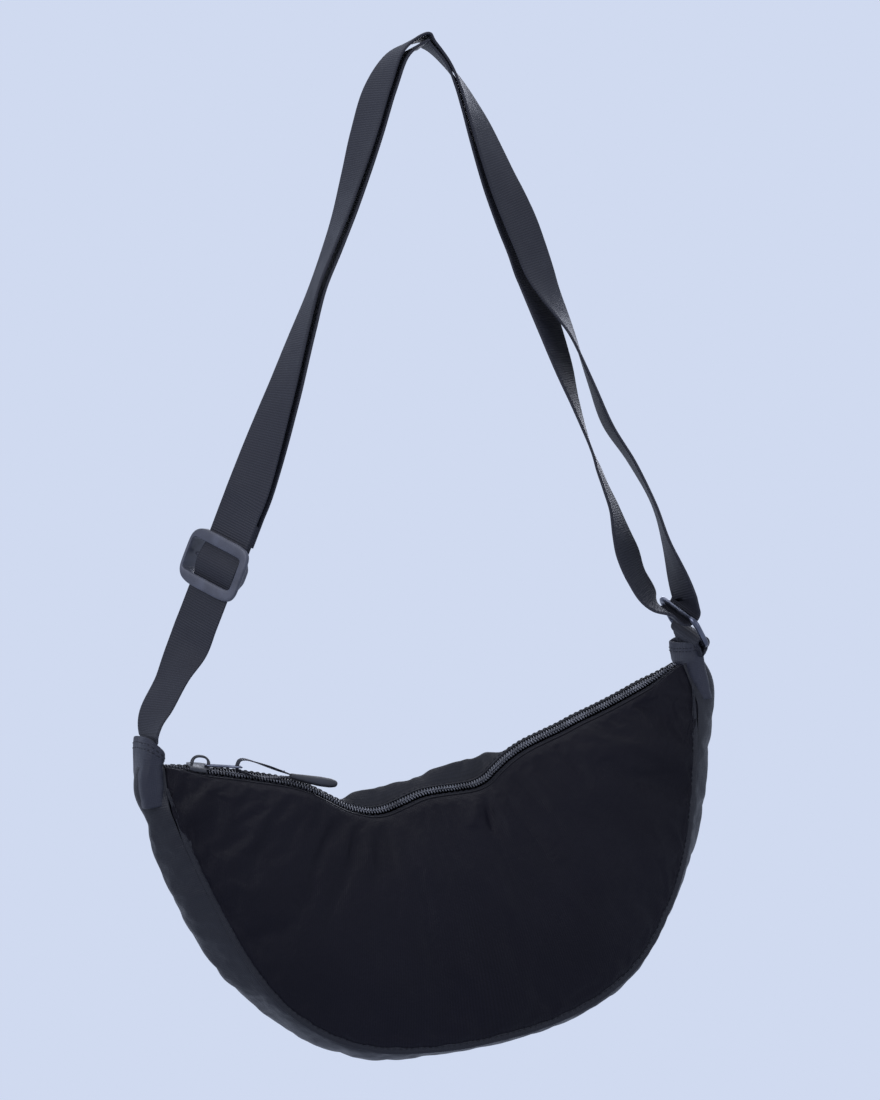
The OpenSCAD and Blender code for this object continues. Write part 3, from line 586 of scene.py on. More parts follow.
def clothRun(piece, held, look):
    # lets the cloth settle with a little more cloth than room, then keeps the shape
    group = piece.vertex_groups.new(name="held")
    for weight in np.unique(held):
        group.add(np.nonzero(held == weight)[0].tolist(), float(weight), "REPLACE")
    cloth = piece.modifiers.new("settle", "CLOTH")
    own = {"bending_stiffness": look["bending"], "shrink_min": -look["growth"],
           "uniform_pressure_force": look["pressure"]}
    for key, value in {**clothNature, **own}.items():
        setattr(cloth.settings, key, value)
    cloth.settings.effector_weights.gravity = 0
    cloth.collision_settings.use_collision = False
    scene = bpy.context.scene
    for frameNumber in range(1, look["frames"] + 1):
        scene.frame_set(frameNumber)
    settled = piece.evaluated_get(bpy.context.evaluated_depsgraph_get()).data
    after = np.empty(len(settled.vertices) * 3)
    settled.vertices.foreach_get("co", after)
    before = np.empty_like(after)
    piece.data.vertices.foreach_get("co", before)
    after, before = after.reshape(-1, 3), before.reshape(-1, 3)
    move = after - before
    far = np.linalg.norm(move, axis=1, keepdims=True)
    cap = look["cap"] * mm
    move = move * np.minimum(1, cap * np.tanh(far / cap) / np.maximum(far, 1e-9))
    piece.modifiers.remove(cloth)
    piece.data.vertices.foreach_set("co", (before + move).ravel())
    piece.data.update()
    scene.frame_set(1)
    print(piece.name, "settled, furthest move", round(float(far.max()) * 1000, 2), "mm")


def toHang(points):
    return hang(points[..., 0], points[..., 1], points[..., 2])


def panelPiece(name, side, folds, seed, replaced):
    along, down = sheetOf(np.linspace(0, 1, panels["columns"]), panelRows(panels["rows"]))
    base = panelSurface(side, along, down)
    ways = surfaceWays(base, side)
    folded = base + ways * (foldHeights(base, along, down, folds, seed) + 0.6)[..., None]
    # the hem: cloth turned under beside the coil, three more rows
    top, up = zipAt(np.linspace(0, 1, panels["columns"]))
    hemRows = []
    pucker = 0.25 * softNoise(np.linspace(0, zipLength / 6, panels["columns"]), seed, 5)
    full = 1 if side > 0 else panels["hemFlat"]
    for y, level in ((7.2, 0.1), (5.1, 0.15), (4.75, 0.75), (5.4, 1.25), (6.8, 1.15)):
        place = top + up * (0.1 + level * full)
        hemRows.append(np.stack([place[:, 0], side * (y + pucker), place[:, 1]], -1))
    points = np.concatenate([np.stack(hemRows, 1), folded], 1)
    count = points.shape[1]
    across = np.concatenate([np.full((panels["columns"], 5), 0.0) + np.arange(5) * 1.5,
                             9 + down * panels["clothHigh"]], 1)
    part = grid(toHang(points), across, along[:, :1] * zipLength)
    # the back panel takes the cloth painted lighter, painted light for the light from above on its top
    cloth = "crinkledNylon" if side < 0 else "paintedLitNylon"
    piece = makePiece(name, part, cloth, "bag", replaced, outward=True)
    held = np.zeros(points.shape[:2])
    held[:, :6] = 1
    held[:, -1] = 1
    held[0] = 1
    held[-1] = 1
    held[:, 6] = 0.8
    held[:, -2] = 0.6
    clothRun(piece, held.ravel(), panels)
    thicken(piece, panels["thick"])
    rounded(piece, 1)


panelPiece("bagFront", -1, frontFolds, 3, ("front_panel",))
panelPiece("bagBack", 1, backFolds, 11, ("back_panel",))
print("panels made")

# ---- gusset: one band round the sides and the bottom, with a shoulder up to each tab
gusset = {"columns": 230, "rows": 26, "long": 480, "round": 440, "thick": 0.6, "shoulder": 9,
          "growth": 0.012, "pressure": 1.5, "bending": 0.3, "frames": 20, "cap": 2,
          "puff": [(-88, 9.4), (-84, 11.4), (-80, 12.4), (-76, 13.4), (-68, 14), (-60, 12.4), (-54, 11),
                   (-48, 7.7), (-40, 6.2), (-32, 6.6), (-24, 7.3), (-16, 6.5), (-8, 4.6), (0, 4.6),
                   (8, 5.2), (16, 6), (24, 7), (32, 6.3), (40, 5), (46, 5.2), (52, 6.2), (58, 8.4),
                   (64, 10.5), (72, 11), (78, 12), (84, 14.2), (88, 14.8)]}


def gussetSurface(angle, across, inset=0.0):
    out = seamOut(angle)
    half = halfWidth(angle) + 0.3 - inset
    puff = np.interp(angle, *zip(*gusset["puff"])) * (1 - np.abs(across) ** 2.2)
    place = seamPoint(angle) + out * (puff - inset)[..., None]
    return np.stack([place[..., 0], across * half, place[..., 1]], -1)


def gussetPiece():
    angles, across = sheetOf(np.linspace(-seams["end"], seams["end"], gusset["columns"]),
                             np.linspace(-1, 1, gusset["rows"]))
    base = gussetSurface(angles, across)
    out = seamOut(angles)
    reach = (angles + 90) / 180 * gusset["round"]
    edge = (1 - across ** 2) ** 0.5
    height = 1.2 * softNoise(reach / 30, across * 1.2, 21) + 1.0 * softNoise(reach / 10, across * 1.6, 22)
    sides = np.abs(np.sin(np.radians(angles))) ** 3
    height = (height * mix(0.45, 0.8, sides) + 0.3 * softNoise(reach / 5, across * 2.2, 23)) * edge
    base[..., 0] += out[..., 0] * height
    base[..., 2] += out[..., 1] * height
    # shoulders, from each end up to the tab's outer face
    low, high = [], []
    for side, first, bucket in ((-1, base[0], low), (1, base[-1], high)):
        a = across[0]
        rim = np.abs(a) ** 5
        goal = np.stack([side * mix(shoulderEnd[side][0], 137.4, rim), a * mix(12.2, 8.4, rim),
                         mix(shoulderEnd[side][1], 0.8, rim)], -1)
        for k in range(1, gusset["shoulder"] + 1):
            t = k / gusset["shoulder"]
            row = mix(first, goal, t)
            row[:, 0] += side * 3.2 * math.sin(math.pi * t) * (1 - a ** 2)
            row[:, 0] += side * 0.5 * softNoise(a * 3 + 4 * side, t * 3, 31) * (1 - t)
            bucket.append(row)
    points = np.concatenate([np.array(low[::-1]), base, np.array(high)], 0)
    n = points.shape[0]
    along = np.linspace(0, gusset["long"], n)[:, None]
    part = grid(toHang(points), np.linspace(-1, 1, gusset["rows"])[None] * 28, along)
    # the gusset takes the cloth painted lighter for the light on the sides
    piece = makePiece("bagGusset", part, "paintedLitNylon", "bag", ("gusset",), outward=True)
    held = np.zeros((n, gusset["rows"]))
    held[:, 0] = 1
    held[:, -1] = 1
    held[:gusset["shoulder"] + 1] = 1
    held[-gusset["shoulder"] - 1:] = 1
    clothRun(piece, held.ravel(), gusset)
    thicken(piece, gusset["thick"])
    rounded(piece, 1)


shoulderEnd = {-1: (150.4, 3.0), 1: (150.2, 2.0)}
gussetPiece()
print("gusset made")

# ---- seam welts: the raised, topstitched edge between a panel and the gusset
stitch = {"length": 2.3, "pitch": 3.1, "thread": 0.42}


def stitches(line, outs, pitch=None):
    # a row of thread, one small capsule for each stitch
    pitch = pitch or stitch["pitch"]
    steps = reachAlong(line)
    parts = []
    half = stitch["length"] / 2 * pitch / stitch["pitch"]
    for middle in np.arange(pitch, steps[-1] - pitch, pitch):
        at = middle + half * np.linspace(-1, 1, 5)
        dip = stitch["thread"] * np.array([-0.45, 0.25, 0.4, 0.25, -0.45])
        place = readAt(at, steps, line)
        out = unit(readAt(at, steps, outs))
        place = place + out * dip[:, None]
        side = unit(np.cross(np.gradient(place, axis=0), out))
        parts.append(sweep(place, side, out, oval(stitch["thread"], stitch["thread"], 6),
                           [0.6, 1, 1, 1, 0.6]))
    return parts


def weltPiece(name, side, replaced):
    angle = np.linspace(-88, 88, seams["weltSteps"])
    outs = seamOut(angle)
    wave = 0.35 * softNoise(angle / 5, side, 41)
    middle = seamPoint(angle) - outs * (seams["weltWidth"] / 2 - 0.2)
    depth = side * (halfWidth(angle) + wave)
    centres = hangFlat(middle, depth)
    sides = unit(hangFlat(middle + outs, depth) - centres)
    ups = np.tile([0, side * 1.0, 0], (len(angle), 1))
    ways = waysAlong(centres)
    ups = unit(ups - ways * (ups * ways).sum(1, keepdims=True))
    profile = oval(seams["weltWidth"], seams["weltThick"], 14, 3.2)
    taper = np.clip(np.minimum(np.arange(len(angle)), np.arange(len(angle))[::-1]) / 12, 0.35, 1)
    part = sweep(centres, sides, ups, profile, taper)
    # the welts take the cloth painted lighter for the light on the sides
    piece = makePiece(name, part, "paintedLitNylon", "bag", replaced, 1)
    threads = stitches(centres + ups * seams["weltThick"] * 0.49 - sides * 0.6, ups)
    makePiece(name + "Stitches", threads, "sewingThread", "bag")


weltPiece("frontSeamWelt", -1, ("front_seam_welt",))
weltPiece("backSeamWelt", 1, ("back_seam_welt",))
print("seams made")

# ---- zip: tapes, coils and the stitching that holds the hems down
zipper = {"steps": 420, "tapeIn": 0.45, "tapeOut": 7.65, "tapeThick": 0.6, "pitch": 1.5, "wire": 0.62,
          "coilIn": -0.35, "coilOut": 2.6, "coilHeight": 1.6}


def zipStrip(low, high, level, thick):
    share = np.linspace(0.002, 0.998, zipper["steps"])
    place, up = zipAt(share)
    middle = place + up * level
    centres = hangFlat(middle, (low + high) / 2)
    ups = unit(hangFlat(middle + up, (low + high) / 2) - centres)
    sides = np.tile([0, 1.0, 0], (len(share), 1))
    return sweep(centres, sides, ups, oval(abs(high - low), thick, 12, 5))


def coilRow(side):
    turns = int(zipLength / zipper["pitch"])
    perTurn = 14
    t = np.arange(turns * perTurn) / perTurn
    share = np.clip((t + (0.5 if side > 0 else 0)) * zipper["pitch"] / zipLength, 0.002, 0.998)
    place, up = zipAt(share)
    c, s = np.cos(2 * np.pi * t), np.sin(2 * np.pi * t)
    reach = (zipper["coilOut"] - zipper["coilIn"] - zipper["wire"]) / 2
    rise = (zipper["coilHeight"] - zipper["wire"]) / 2
    y = (zipper["coilOut"] + zipper["coilIn"]) / 2 - np.sign(c) * np.abs(c) ** 0.55 * reach
    z = zipper["coilHeight"] / 2 + np.sign(s) * np.abs(s) ** 0.8 * rise
    place = place + up * z[:, None]
    line = hangFlat(place, side * y)
    return tube(line, zipper["wire"], 6)


for word, side in (("Front", -1), ("Back", 1)):
    node = word.lower()
    makePiece("zipTape" + word, zipStrip(side * zipper["tapeIn"], side * zipper["tapeOut"], -0.3,
                                         zipper["tapeThick"]),
              "herringboneTape", "bag", ("zip_tape_" + node,))
    makePiece("zipCoil" + word, coilRow(side), "coilPaintedGlints", "bag", ("zip_coil_" + node,))
    share = np.linspace(0.01, 0.99, 500)
    place, up = zipAt(share)
    ups = unit(hangFlat(place + up, 0) - hangFlat(place, 0))
    rows = []
    for y, level in ((2.15, zipper["coilHeight"] + 0.05), (6.3, 1.3)):
        rows += stitches(hangFlat(place + up * level, side * y), ups, 1.6 if y < 3 else None)
    makePiece("zipStitches" + word, rows, "sewingThread", "bag")
print("zip made")

# ---- the two tabs, folded cloth sewn round the strap's end and round the ring's loop
around = 44
tabs = {
    -1: {"name": "leftTab", "node": "left_strap_tab", "slant": 1.25, "lip": 5, "top": 12, "yaw": 12,
         "levels": [(-18, 145.8, 6.2, 13.1), (-14, 145.9, 6.6, 13.3), (-8, 145.7, 6.6, 13.4),
                    (0, 145.3, 6.1, 13.4), (6, 143.9, 5.1, 13.3), (12, 142.4, 4.3, 13.2)]},
    1: {"name": "rightTab", "node": "right_strap_tab", "slant": 0.35, "lip": 5, "top": 12, "yaw": 13,
        "levels": [(-20, 145.3, 5.7, 12.8), (-14, 145.2, 5.7, 12.9), (-6, 144.6, 5.6, 12.9),
                   (2, 144, 5.2, 13), (8, 143.9, 4.1, 13), (12, 144, 3.3, 13)]}}


def tabPiece(side):
    look = tabs[side]
    ring = oval(2, 2, around, 3.6)
    levels = np.array(look["levels"])
    heights = np.linspace(levels[0, 0], levels[-1, 0], 30)
    rows = []

    def ringAt(v, shrink, slantShare):
        u0, halfT, halfW = [np.interp(v, levels[:, 0], levels[:, k]) for k in (1, 2, 3)]
        across = ring[:, 0] * (halfT - shrink)
        wrinkle = 0.35 * softNoise(ring[:, 1] * 2.2, np.full(len(ring), v / 4.5), 51 + side)
        wrinkle = wrinkle * (shrink < 0.2)
        crease = 0.55 * np.exp(-((v + 12 - ring[:, 1] * 3) / 1.6) ** 2) * (shrink < 0.2)
        u = side * u0 + across * (1 + (wrinkle - crease) / np.maximum(halfT, 1))
        rise = slantShare * look["slant"] * (across * side)
        sag = 0.5 * softNoise(ring[:, 1] * 1.5, np.full(len(ring), 0.3), 57 + side) * slantShare
        y = ring[:, 1] * (halfW - shrink) + wrinkle * 0.5
        # the mouth turns with the webbing in it
        turn = rad(look["yaw"]) * smoothStep(v, -6, look["top"])
        off = u - side * u0
        return np.stack([side * u0 + off * math.cos(turn) - y * math.sin(turn),
                         off * math.sin(turn) + y * math.cos(turn), v + rise + sag], -1)
    for v in heights:
        rows.append(ringAt(v, 0, smoothStep(v, 0, look["top"])))
    rows.append(ringAt(look["top"] + 0.5, 0.35, 1))
    rows.append(ringAt(look["top"] + 0.3, 1.0, 1))
    for v in np.linspace(look["top"] - 0.6, look["top"] - look["lip"], 5):
        rows.append(ringAt(v, 1.25, smoothStep(v, 0, look["top"])))
    points = np.array(rows)
    n = len(points)
    part = grid(toHang(points), np.linspace(0, 75, around)[None], np.linspace(0, 40, n)[:, None], closed=True)
    vertices, faces, cloth = part
    faces = faces + [tuple(range(around - 1, -1, -1)), tuple(range((n - 1) * around, n * around))]
    rows = []
    for v in (look["top"] - 2.6, look["top"] - 4.4):
        line = toHang(ringAt(v, 0, smoothStep(v, 0, look["top"])))
        line = np.vstack([line, line[:1]])
        centre = line.mean(0)
        outs = unit(line - centre)
        rows += stitches(line, outs)
    # the tabs take the cloth painted paler for the light that falls on them
    piece = makePiece(look["name"], (vertices, faces, cloth), "foldedNylonPaintedLit", None,
                      (look["node"],), 1, outward=True)
    threads = makePiece(look["name"] + "Stitches", rows, "sewingThread", None)
    start = Vector(hang(side * 145.1, 0, 14) * mm)
    end = Vector(hang(side * 145.1, 0, 0.5) * mm)
    for cloth in (piece, threads):
        applyModifiers(cloth)
        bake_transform(cloth)


def applyModifiers(piece):
    settled = piece.evaluated_get(bpy.context.evaluated_depsgraph_get())
    mesh = bpy.data.meshes.new_from_object(settled)
    piece.modifiers.clear()
    piece.data = mesh


tabPiece(-1)
tabPiece(1)
print("tabs made")

# ---- the slider and its pull
slider = {"place": (-120, -5.4), "slope": -17.2, "long": 12.6, "half": 4.3, "plate": 1.0, "base": 1.95,
          "arch": 4.3, "archRise": 4.6, "wire": 1.25, "archSteps": 33, "wallSteps": 12}
onSlider = slopedFrame(*slider["place"], slider["slope"], hang)


def plate(outline, low, high, rim, place):
    # a plate with rounded rims, from an outline of points
    outline = np.asarray(outline, float)
    middle = outline.mean(0)
    rings = []
    for inset, z in ((1.0, low), (rim * 0.35, low), (0, low + rim), (0, high - rim),
                     (rim * 0.35, high - rim * 0.1), (rim, high), (1.0, high)):
        shape = mix(middle, outline, 0.03) if inset == 1.0 else outline - unit(outline - middle) * inset
        rings.append(np.stack([shape[:, 0], shape[:, 1], np.full(len(shape), z)], -1))
    points = np.array(rings)
    vertices, faces, cloth = grid(place(points), outline[None, :, 0], outline[None, :, 1], closed=True)
    n = len(outline)
    faces += [tuple(range(n - 1, -1, -1)), tuple(range(6 * n, 7 * n))]
    return vertices, faces, cloth


def sliderPiece():
    long, half = slider["long"] / 2, slider["half"]
    corner = [(-long, -half * 0.86), (-long * 0.5, -half), (long * 0.1, -half * 0.98),
              (long * 0.55, -half * 0.8), (long * 0.98, -half * 0.42), (long * 1.02, 0)]
    outline = corner + [(x, -y) for x, y in corner[-2::-1]]
    outline = throughPoints(outline + [outline[0]], 49)[:-1]
    base, archSteps, wallSteps = slider["base"], slider["archSteps"], slider["wallSteps"]
    parts = [plate(outline, base, base + slider["plate"], 0.4, onSlider),
             plate(outline, -1.7, -0.75, 0.35, onSlider)]
    for side in (-1, 1):
        wall = throughPoints([(-long * 0.95, side * (half - 0.15)), (-long * 0.5, side * (half + 0.05)),
                              (0, side * half), (long * 0.42, side * half * 0.9)], wallSteps)
        line = onSlider(np.stack([wall[:, 0], wall[:, 1], np.full(wallSteps, base - 0.15)], -1))
        sides, ups = [np.tile(wayIn(onSlider, way), (wallSteps, 1)) for way in ((0, 1, 0), (0, 0, 1))]
        parts.append(sweep(line, sides, ups, oval(0.75, 1.9, 12, 4)))
    post = np.array([[long * 0.42, 0, -0.9], [long * 0.42, 0, 0.5], [long * 0.42, 0, 2.2]])
    parts.append(tube(onSlider(post), 0.5, 12))
    a = np.linspace(-0.12, math.pi + 0.12, archSteps)
    arch = np.stack([-slider["arch"] * np.sign(np.cos(a)) * np.abs(np.cos(a)) ** 0.8, np.zeros(archSteps),
                     base + slider["plate"] - 0.2
                     + slider["archRise"] * np.abs(np.sin(a)) ** 0.75 * np.sign(np.sin(a) + 0.2)],
                    -1)
    sides = np.tile(wayIn(onSlider, (0, 1, 0)), (archSteps, 1))
    line = onSlider(arch)
    ups = np.cross(waysAlong(line), sides)
    parts.append(sweep(line, sides, ups, oval(1.9, slider["wire"], 14, 2.6),
                       1 + 0.5 * np.abs(np.cos(a)) ** 6))
    makePiece("zipSlider", parts, "enamelledZinc", "zip_slider", ("zip_slider",), 1,
              outward=True)


sliderPiece()

# the link's near bar is the pin that the CAD hinge turns about
pull = {"ribbonSteps": 150, "pin": (-110.928, -364.382), "wire": 1.05, "width": 5.6, "long": 18,
        "slope": -4.13, "gripSlope": -11.13, "ribbonWidth": 4.1, "ribbonThick": 0.6, "gripLong": 25}
onLink = slopedFrame(*pull["pin"], pull["slope"], asPoints)
linkEnd = onLink((pull["long"], 0, 0))
onGrip = slopedFrame(linkEnd[0], linkEnd[2], pull["gripSlope"], asPoints)


def roundedLoop(low, high, bend, corner, count):
    # a closed rectangle with round corners, in a plane
    line = []
    for x, y, first in ((1, 1, 0), (0, 1, 90), (0, 0, 180), (1, 0, 270)):
        middle = [high[k] - bend if end else low[k] + bend for k, end in enumerate((x, y))]
        for k in range(corner + 1):
            a = rad(first + 90 * k / corner)
            line.append((middle[0] + bend * math.cos(a), middle[1] + bend * math.sin(a)))
    return evenly(np.array(line + line[:1]), count + 1)[:-1]


link = roundedLoop((0, -pull["width"] / 2), (pull["long"], pull["width"] / 2), 1.6, 10, 96)
link = tube(onLink(np.pad(link, ((0, 0), (0, 1)))), pull["wire"], 12, loop=True)
makePiece("pullWire", link, "platedZinc", "zip_pull", ("pull_wire",))


def ribbonPiece():
    # out from the grip over the link's bar and back, the lower strand hanging slack
    route = [(25.8, 0, 0.55), (20, 0, 1.5), (13, 0, 2.7), (6, 0, 3.7), (1.5, 0, 4.1), (-1.2, 0, 3.3),
             (-2.1, 0, 1.2), (-1.9, 0, -1.2), (-0.4, 0, -2.3), (3, 0, -2.6), (9, 0, -3.2), (16, 0, -2.6),
             (22, 0, -1.2), (25.8, 0, -0.55)]
    count = pull["ribbonSteps"]
    line = throughPoints(route, count)
    line[:, 1] = 0.25 * np.sin(np.linspace(0, 5, count))
    centres = onGrip(line)
    sides = np.tile([0, 1.0, 0], (count, 1))
    ways = waysAlong(centres)
    twist = rad(14) * np.sin(np.linspace(0, 3 * math.pi, count))
    ups = unit(np.cross(ways, sides))
    turned = sides * np.cos(twist)[:, None] + ups * np.sin(twist)[:, None]
    ups = unit(np.cross(ways, turned))
    ribs = np.stack([np.ones(count), 1 + 0.22 * np.sign(np.sin(np.linspace(0, count * 2.1, count)))], -1)
    part = sweep(centres, turned, ups, oval(pull["ribbonWidth"], pull["ribbonThick"], 12, 4), ribs)
    threads = []
    for x in (20.5, 21.9):
        seam = onGrip(np.stack([np.full(9, x), np.linspace(-1.6, 1.6, 9), np.full(9, 1.75)], -1))
        threads += stitches(seam, np.tile(wayIn(onGrip, (0, 0, 1)), (9, 1)), 0.9)
    makePiece("pullRibbon", [part] + threads, "grosgrain", "zip_grip", ("pull_ribbon",))


def gripPiece():
    # flat tapered grip: narrow where the ribbon enters, widest past the middle, round at its end
    x = np.concatenate([[0, 0.05, 0.3], np.linspace(1, 24, 24), [24.5, 24.8, 24.95, 25]])
    share = x / pull["gripLong"]
    stations = [0, 0.012, 0.05, 0.3, 0.62, 0.86, 0.96, 0.992, 1]
    wide = np.interp(share, stations, [2.6, 3.6, 4.3, 6, 7.8, 7.2, 5.4, 2.8, 0.2])
    high = np.interp(share, stations, [1.8, 2.4, 2.8, 3.9, 5, 4.7, 3.4, 1.8, 0.2])
    groove = 1 - 0.1 * np.exp(-((share - 0.13) / 0.012) ** 2) - 0.1 * np.exp(-((share - 0.18) / 0.012) ** 2)
    centres = onGrip(np.stack([25.2 + x, np.zeros(len(x)), -0.25 * np.sin(math.pi * share)], -1))
    sides = np.tile([0, 1.0, 0], (len(x), 1))
    ups = np.tile(wayIn(onGrip, (0, 0, 1)), (len(x), 1))
    part = sweep(centres, sides, ups, oval(1, 1, 24, 2.5), np.stack([wide * groove, high * groove], -1))
    makePiece("pullGrip", part, "softMoulding", "zip_grip", ("pull_grip",), 1, outward=True)


ribbonPiece()
gripPiece()
print("slider and pull made")

# ---- the strap, one length of webbing: left tab, adjuster, over the top, through the ring and back
strap = {"width": 25, "thick": 1.35, "gap": 3.6, "tab": 145.1, "straight": 15, "lay": 4.5, "twist": 44,
         "way": (0.319, -0.24, 0.94), "place": (0.747, 0.727), "steps": 8, "ringTurn": 24, "ringLean": 25,
         "loopRise": 16.7, "ringHigh": 17.5, "ringYaw": 13, "eye": 6.0, "eyeBase": 20.25, "split": 10,
         "weaveHalf": 9, "weaveOver": 2.2}
leftLow = [(0.97, 0.12, 0.922, 64, 1.2, 0), (0.906, 0.3, 0.879, 62, 1.2, 0)]
leftHigh = [
    (0.557, -0.47, 0.512, 63, 1.15, 0), (0.512, -0.43, 0.462, 72, 1.05, 0), (0.463, -0.36, 0.407, 81, 1, 0),
    (0.411, -0.28, 0.352, 89, 1, 0), (0.354, -0.2, 0.298, 87, 1, 0), (0.3, -0.12, 0.243, 82, 1, 0),
    (0.254, -0.06, 0.186, 75, 1, 0), (0.212, -0.02, 0.131, 69, 1, 0), (0.163, 0, 0.071, 69, 1, 0),
    (0.098, 0, 0.023, 81, 1, 0), (0, 0, 0, 90, 1, 0)]
rightRows = [
    (0.046, 0, 0.01, 80, 0.69, 0), (0.11, 0, 0.042, 75, 0.5, 0), (0.16, 0, 0.077, 67, 0.6, 0),
    (0.202, 0, 0.115, 58, 0.66, 0), (0.244, 0, 0.157, 49, 0.77, 0), (0.318, 0, 0.237, 38, 1.12, 0),
    (0.356, 0, 0.275, 33, 1.28, 0), (0.397, 0.02, 0.317, 31, 1.48, 0), (0.434, 0.05, 0.359, 33, 1.53, 0),
    (0.467, 0.1, 0.4, 36, 1.7, 0), (0.508, 0.15, 0.439, 47, 2, 0), (0.555, 0.2, 0.477, 58, 2.11, 0),
    (0.602, 0.26, 0.519, 68, 2.19, 0), (0.67, 0.38, 0.6, 77, 2.2, 0), (0.732, 0.5, 0.672, 82, 2.2, 0),
    (0.827, 0.64, 0.739, 79, 2.2, 0), (0.911, 0.78, 0.812, 75, 2.2, 0), (0.964, 0.9, 0.889, 74, 2.2, 0.3)]
innerRows = [
    (0.549, 0.26, 0.557, 49, 1, 0), (0.603, 0.38, 0.634, 63, 1, 0), (0.661, 0.5, 0.711, 72, 1, 0),
    (0.694, 0.56, 0.752, 68, 1, 0), (0.72, 0.64, 0.784, 66, 1, 0), (0.752, 0.72, 0.822, 61, 1, 0),
    (0.777, 0.8, 0.864, 51, 1, 0), (0.802, 0.86, 0.901, 42, 1, 0.05), (0.835, 0.9, 0.941, 40, 1, 0.2),
    (0.898, 1.01, 0.986, 35, 1, 0.5)]
crown = 0.65 + strap["gap"]
leftAnchor = hang(-strap["tab"], 0, 0)


def footPoint(x, z):
    # a place over the right tab, leaning as the loop leans
    lean = rad(strap["ringLean"])
    return hang(strap["tab"] + x, -z * math.sin(lean), z * math.cos(lean))


def ringPoint(across, up):
    turn = rad(strap["ringTurn"])
    x = across * math.cos(turn) - up * math.sin(turn)
    return footPoint(x, strap["loopRise"] + across * math.sin(turn) + up * math.cos(turn))


ringFlat = math.cos(rad(strap["ringLean"]))
ringWay = unit(hang(-ringFlat * math.sin(rad(strap["ringYaw"])), ringFlat * math.cos(rad(strap["ringYaw"])),
                    math.sin(rad(strap["ringLean"]))) - hang(0, 0, 0))
rightAnchor = ringPoint(0, strap["ringHigh"])
adjusterWay = unit(strap["way"])
adjusterPlace = np.array([strap["place"][0] * leftAnchor[0], 0, mix(crown, leftAnchor[2], strap["place"][1])])


def route(rows, anchor, depth):
    return [(r[0] * anchor[0], r[1] * depth, mix(crown, anchor[2], r[2]), r[3], r[4] * strap["gap"], r[5])
            for r in rows]


def smoothKeys(keys, before, after):
    line = [np.array(k, float) for k in [before] + list(keys) + [after]]
    out = []
    for i in range(1, len(line) - 2):
        for k in range(strap["steps"]):
            out.append(curveAt(*line[i - 1:i + 3], k / strap["steps"]))
    return np.array(out + [np.array(keys[-1], float)])


def sections(line):
    # centre, way across, way out and lay of each section
    ways = np.empty((len(line), 3))
    for i in range(len(line)):
        ways[i] = unit(line[min(len(line) - 1, i + 1), :3] - line[max(0, i - 1), :3])
    across = unit(np.array([0, 1.0, 0]) - ways * ways[:, 1:2])
    other = np.cross(ways, across)
    twist = np.radians(line[:, 3:4])
    plain = across * np.sin(twist) + other * np.cos(twist)
    turned = mix(plain, ringWay, line[:, 5:6])
    across = unit(turned - ways * (turned * ways).sum(1, keepdims=True))
    return line[:, :3], across, np.cross(ways, across), line[:, 4]


def ringKey(across, up):
    return (*ringPoint(across, up), 90, 0, 1)


leftFoot = [(*hang(off - strap["tab"], 0, v), twist, 0, 0)
            for off, v, twist in ((0.4, 0, 87), (2.8, 13.125, 80), (4, 18.125, 77))]
straightKeys = [(*(adjusterPlace + adjusterWay * strap["straight"] * i), strap["twist"], strap["lay"], 0)
                for i in range(-3, 4)]
leftKeys = leftFoot + route(leftLow, leftAnchor, strap["width"]) + straightKeys
leftKeys = leftKeys + route(leftHigh, leftAnchor, strap["width"])
returnKey = len(leftFoot) + len(leftLow) + 4
crownKey = len(leftKeys) - 1
outerKeys = leftKeys + route(rightRows, rightAnchor, rightAnchor[1])
outerKeys = outerKeys + [ringKey(strap["eye"], strap["eyeBase"])]
beforeFirst = 2 * np.array(outerKeys[0]) - np.array(outerKeys[1])
outerLine = smoothKeys(outerKeys, beforeFirst, ringKey(strap["eye"], strap["eyeBase"] - strap["eye"]))
outerCentre, outerAcross, outerOut, outerLay = sections(outerLine)
innerCentre = outerCentre - outerOut * outerLay[:, None]
# between the adjuster's two bars the webbing stands forward over the middle bar
besideBar = np.clip(np.abs((outerCentre - adjusterPlace) @ adjusterWay) / strap["weaveHalf"], 0, 1)
nearAdjuster = np.linalg.norm(outerCentre - adjusterPlace, axis=1) < 20
weaveOver = strap["weaveOver"] * np.cos(besideBar * math.pi / 2) ** 1.2 * nearAdjuster
splitAt = strap["steps"] * (crownKey + strap["split"])


def innerKey(i):
    return (*innerCentre[i], outerLine[i][3], 0, 0)


innerLine = smoothKeys([innerKey(splitAt)] + route(innerRows, rightAnchor, rightAnchor[1])
                       + [ringKey(-strap["eye"], strap["eyeBase"])], innerKey(splitAt - strap["steps"]),
                       ringKey(-strap["eye"], strap["eyeBase"] - strap["eye"]))
lowCentre, lowAcross, lowOut, _ = sections(innerLine)
turnSteps = 40
turnAngles = -np.pi * np.arange(1, turnSteps) / turnSteps
turnCentre = np.array([ringPoint(strap["eye"] * math.cos(a), strap["eyeBase"] + strap["eye"] * math.sin(a))
                       for a in turnAngles])
turnOut = unit(turnCentre - ringPoint(0, strap["eyeBase"]))
turnAcross = np.tile(ringWay, (turnSteps - 1, 1))
first = int(strap["steps"] * 0.55)
last = strap["steps"] * returnKey
strapCentre = np.vstack([(outerCentre + outerOut * weaveOver[:, None])[first:], turnCentre,
                         lowCentre[:0:-1], innerCentre[splitAt:last - 1:-1]])
strapAcross = np.vstack([outerAcross[first:], turnAcross, lowAcross[:0:-1], outerAcross[splitAt:last - 1:-1]])
strapOut = np.vstack([outerOut[first:], turnOut, -lowOut[:0:-1], -outerOut[splitAt:last - 1:-1]])
steps = reachAlong(strapCentre)
taper = np.interp(steps, [0, 3, 7], [0.45, 0.72, 1])


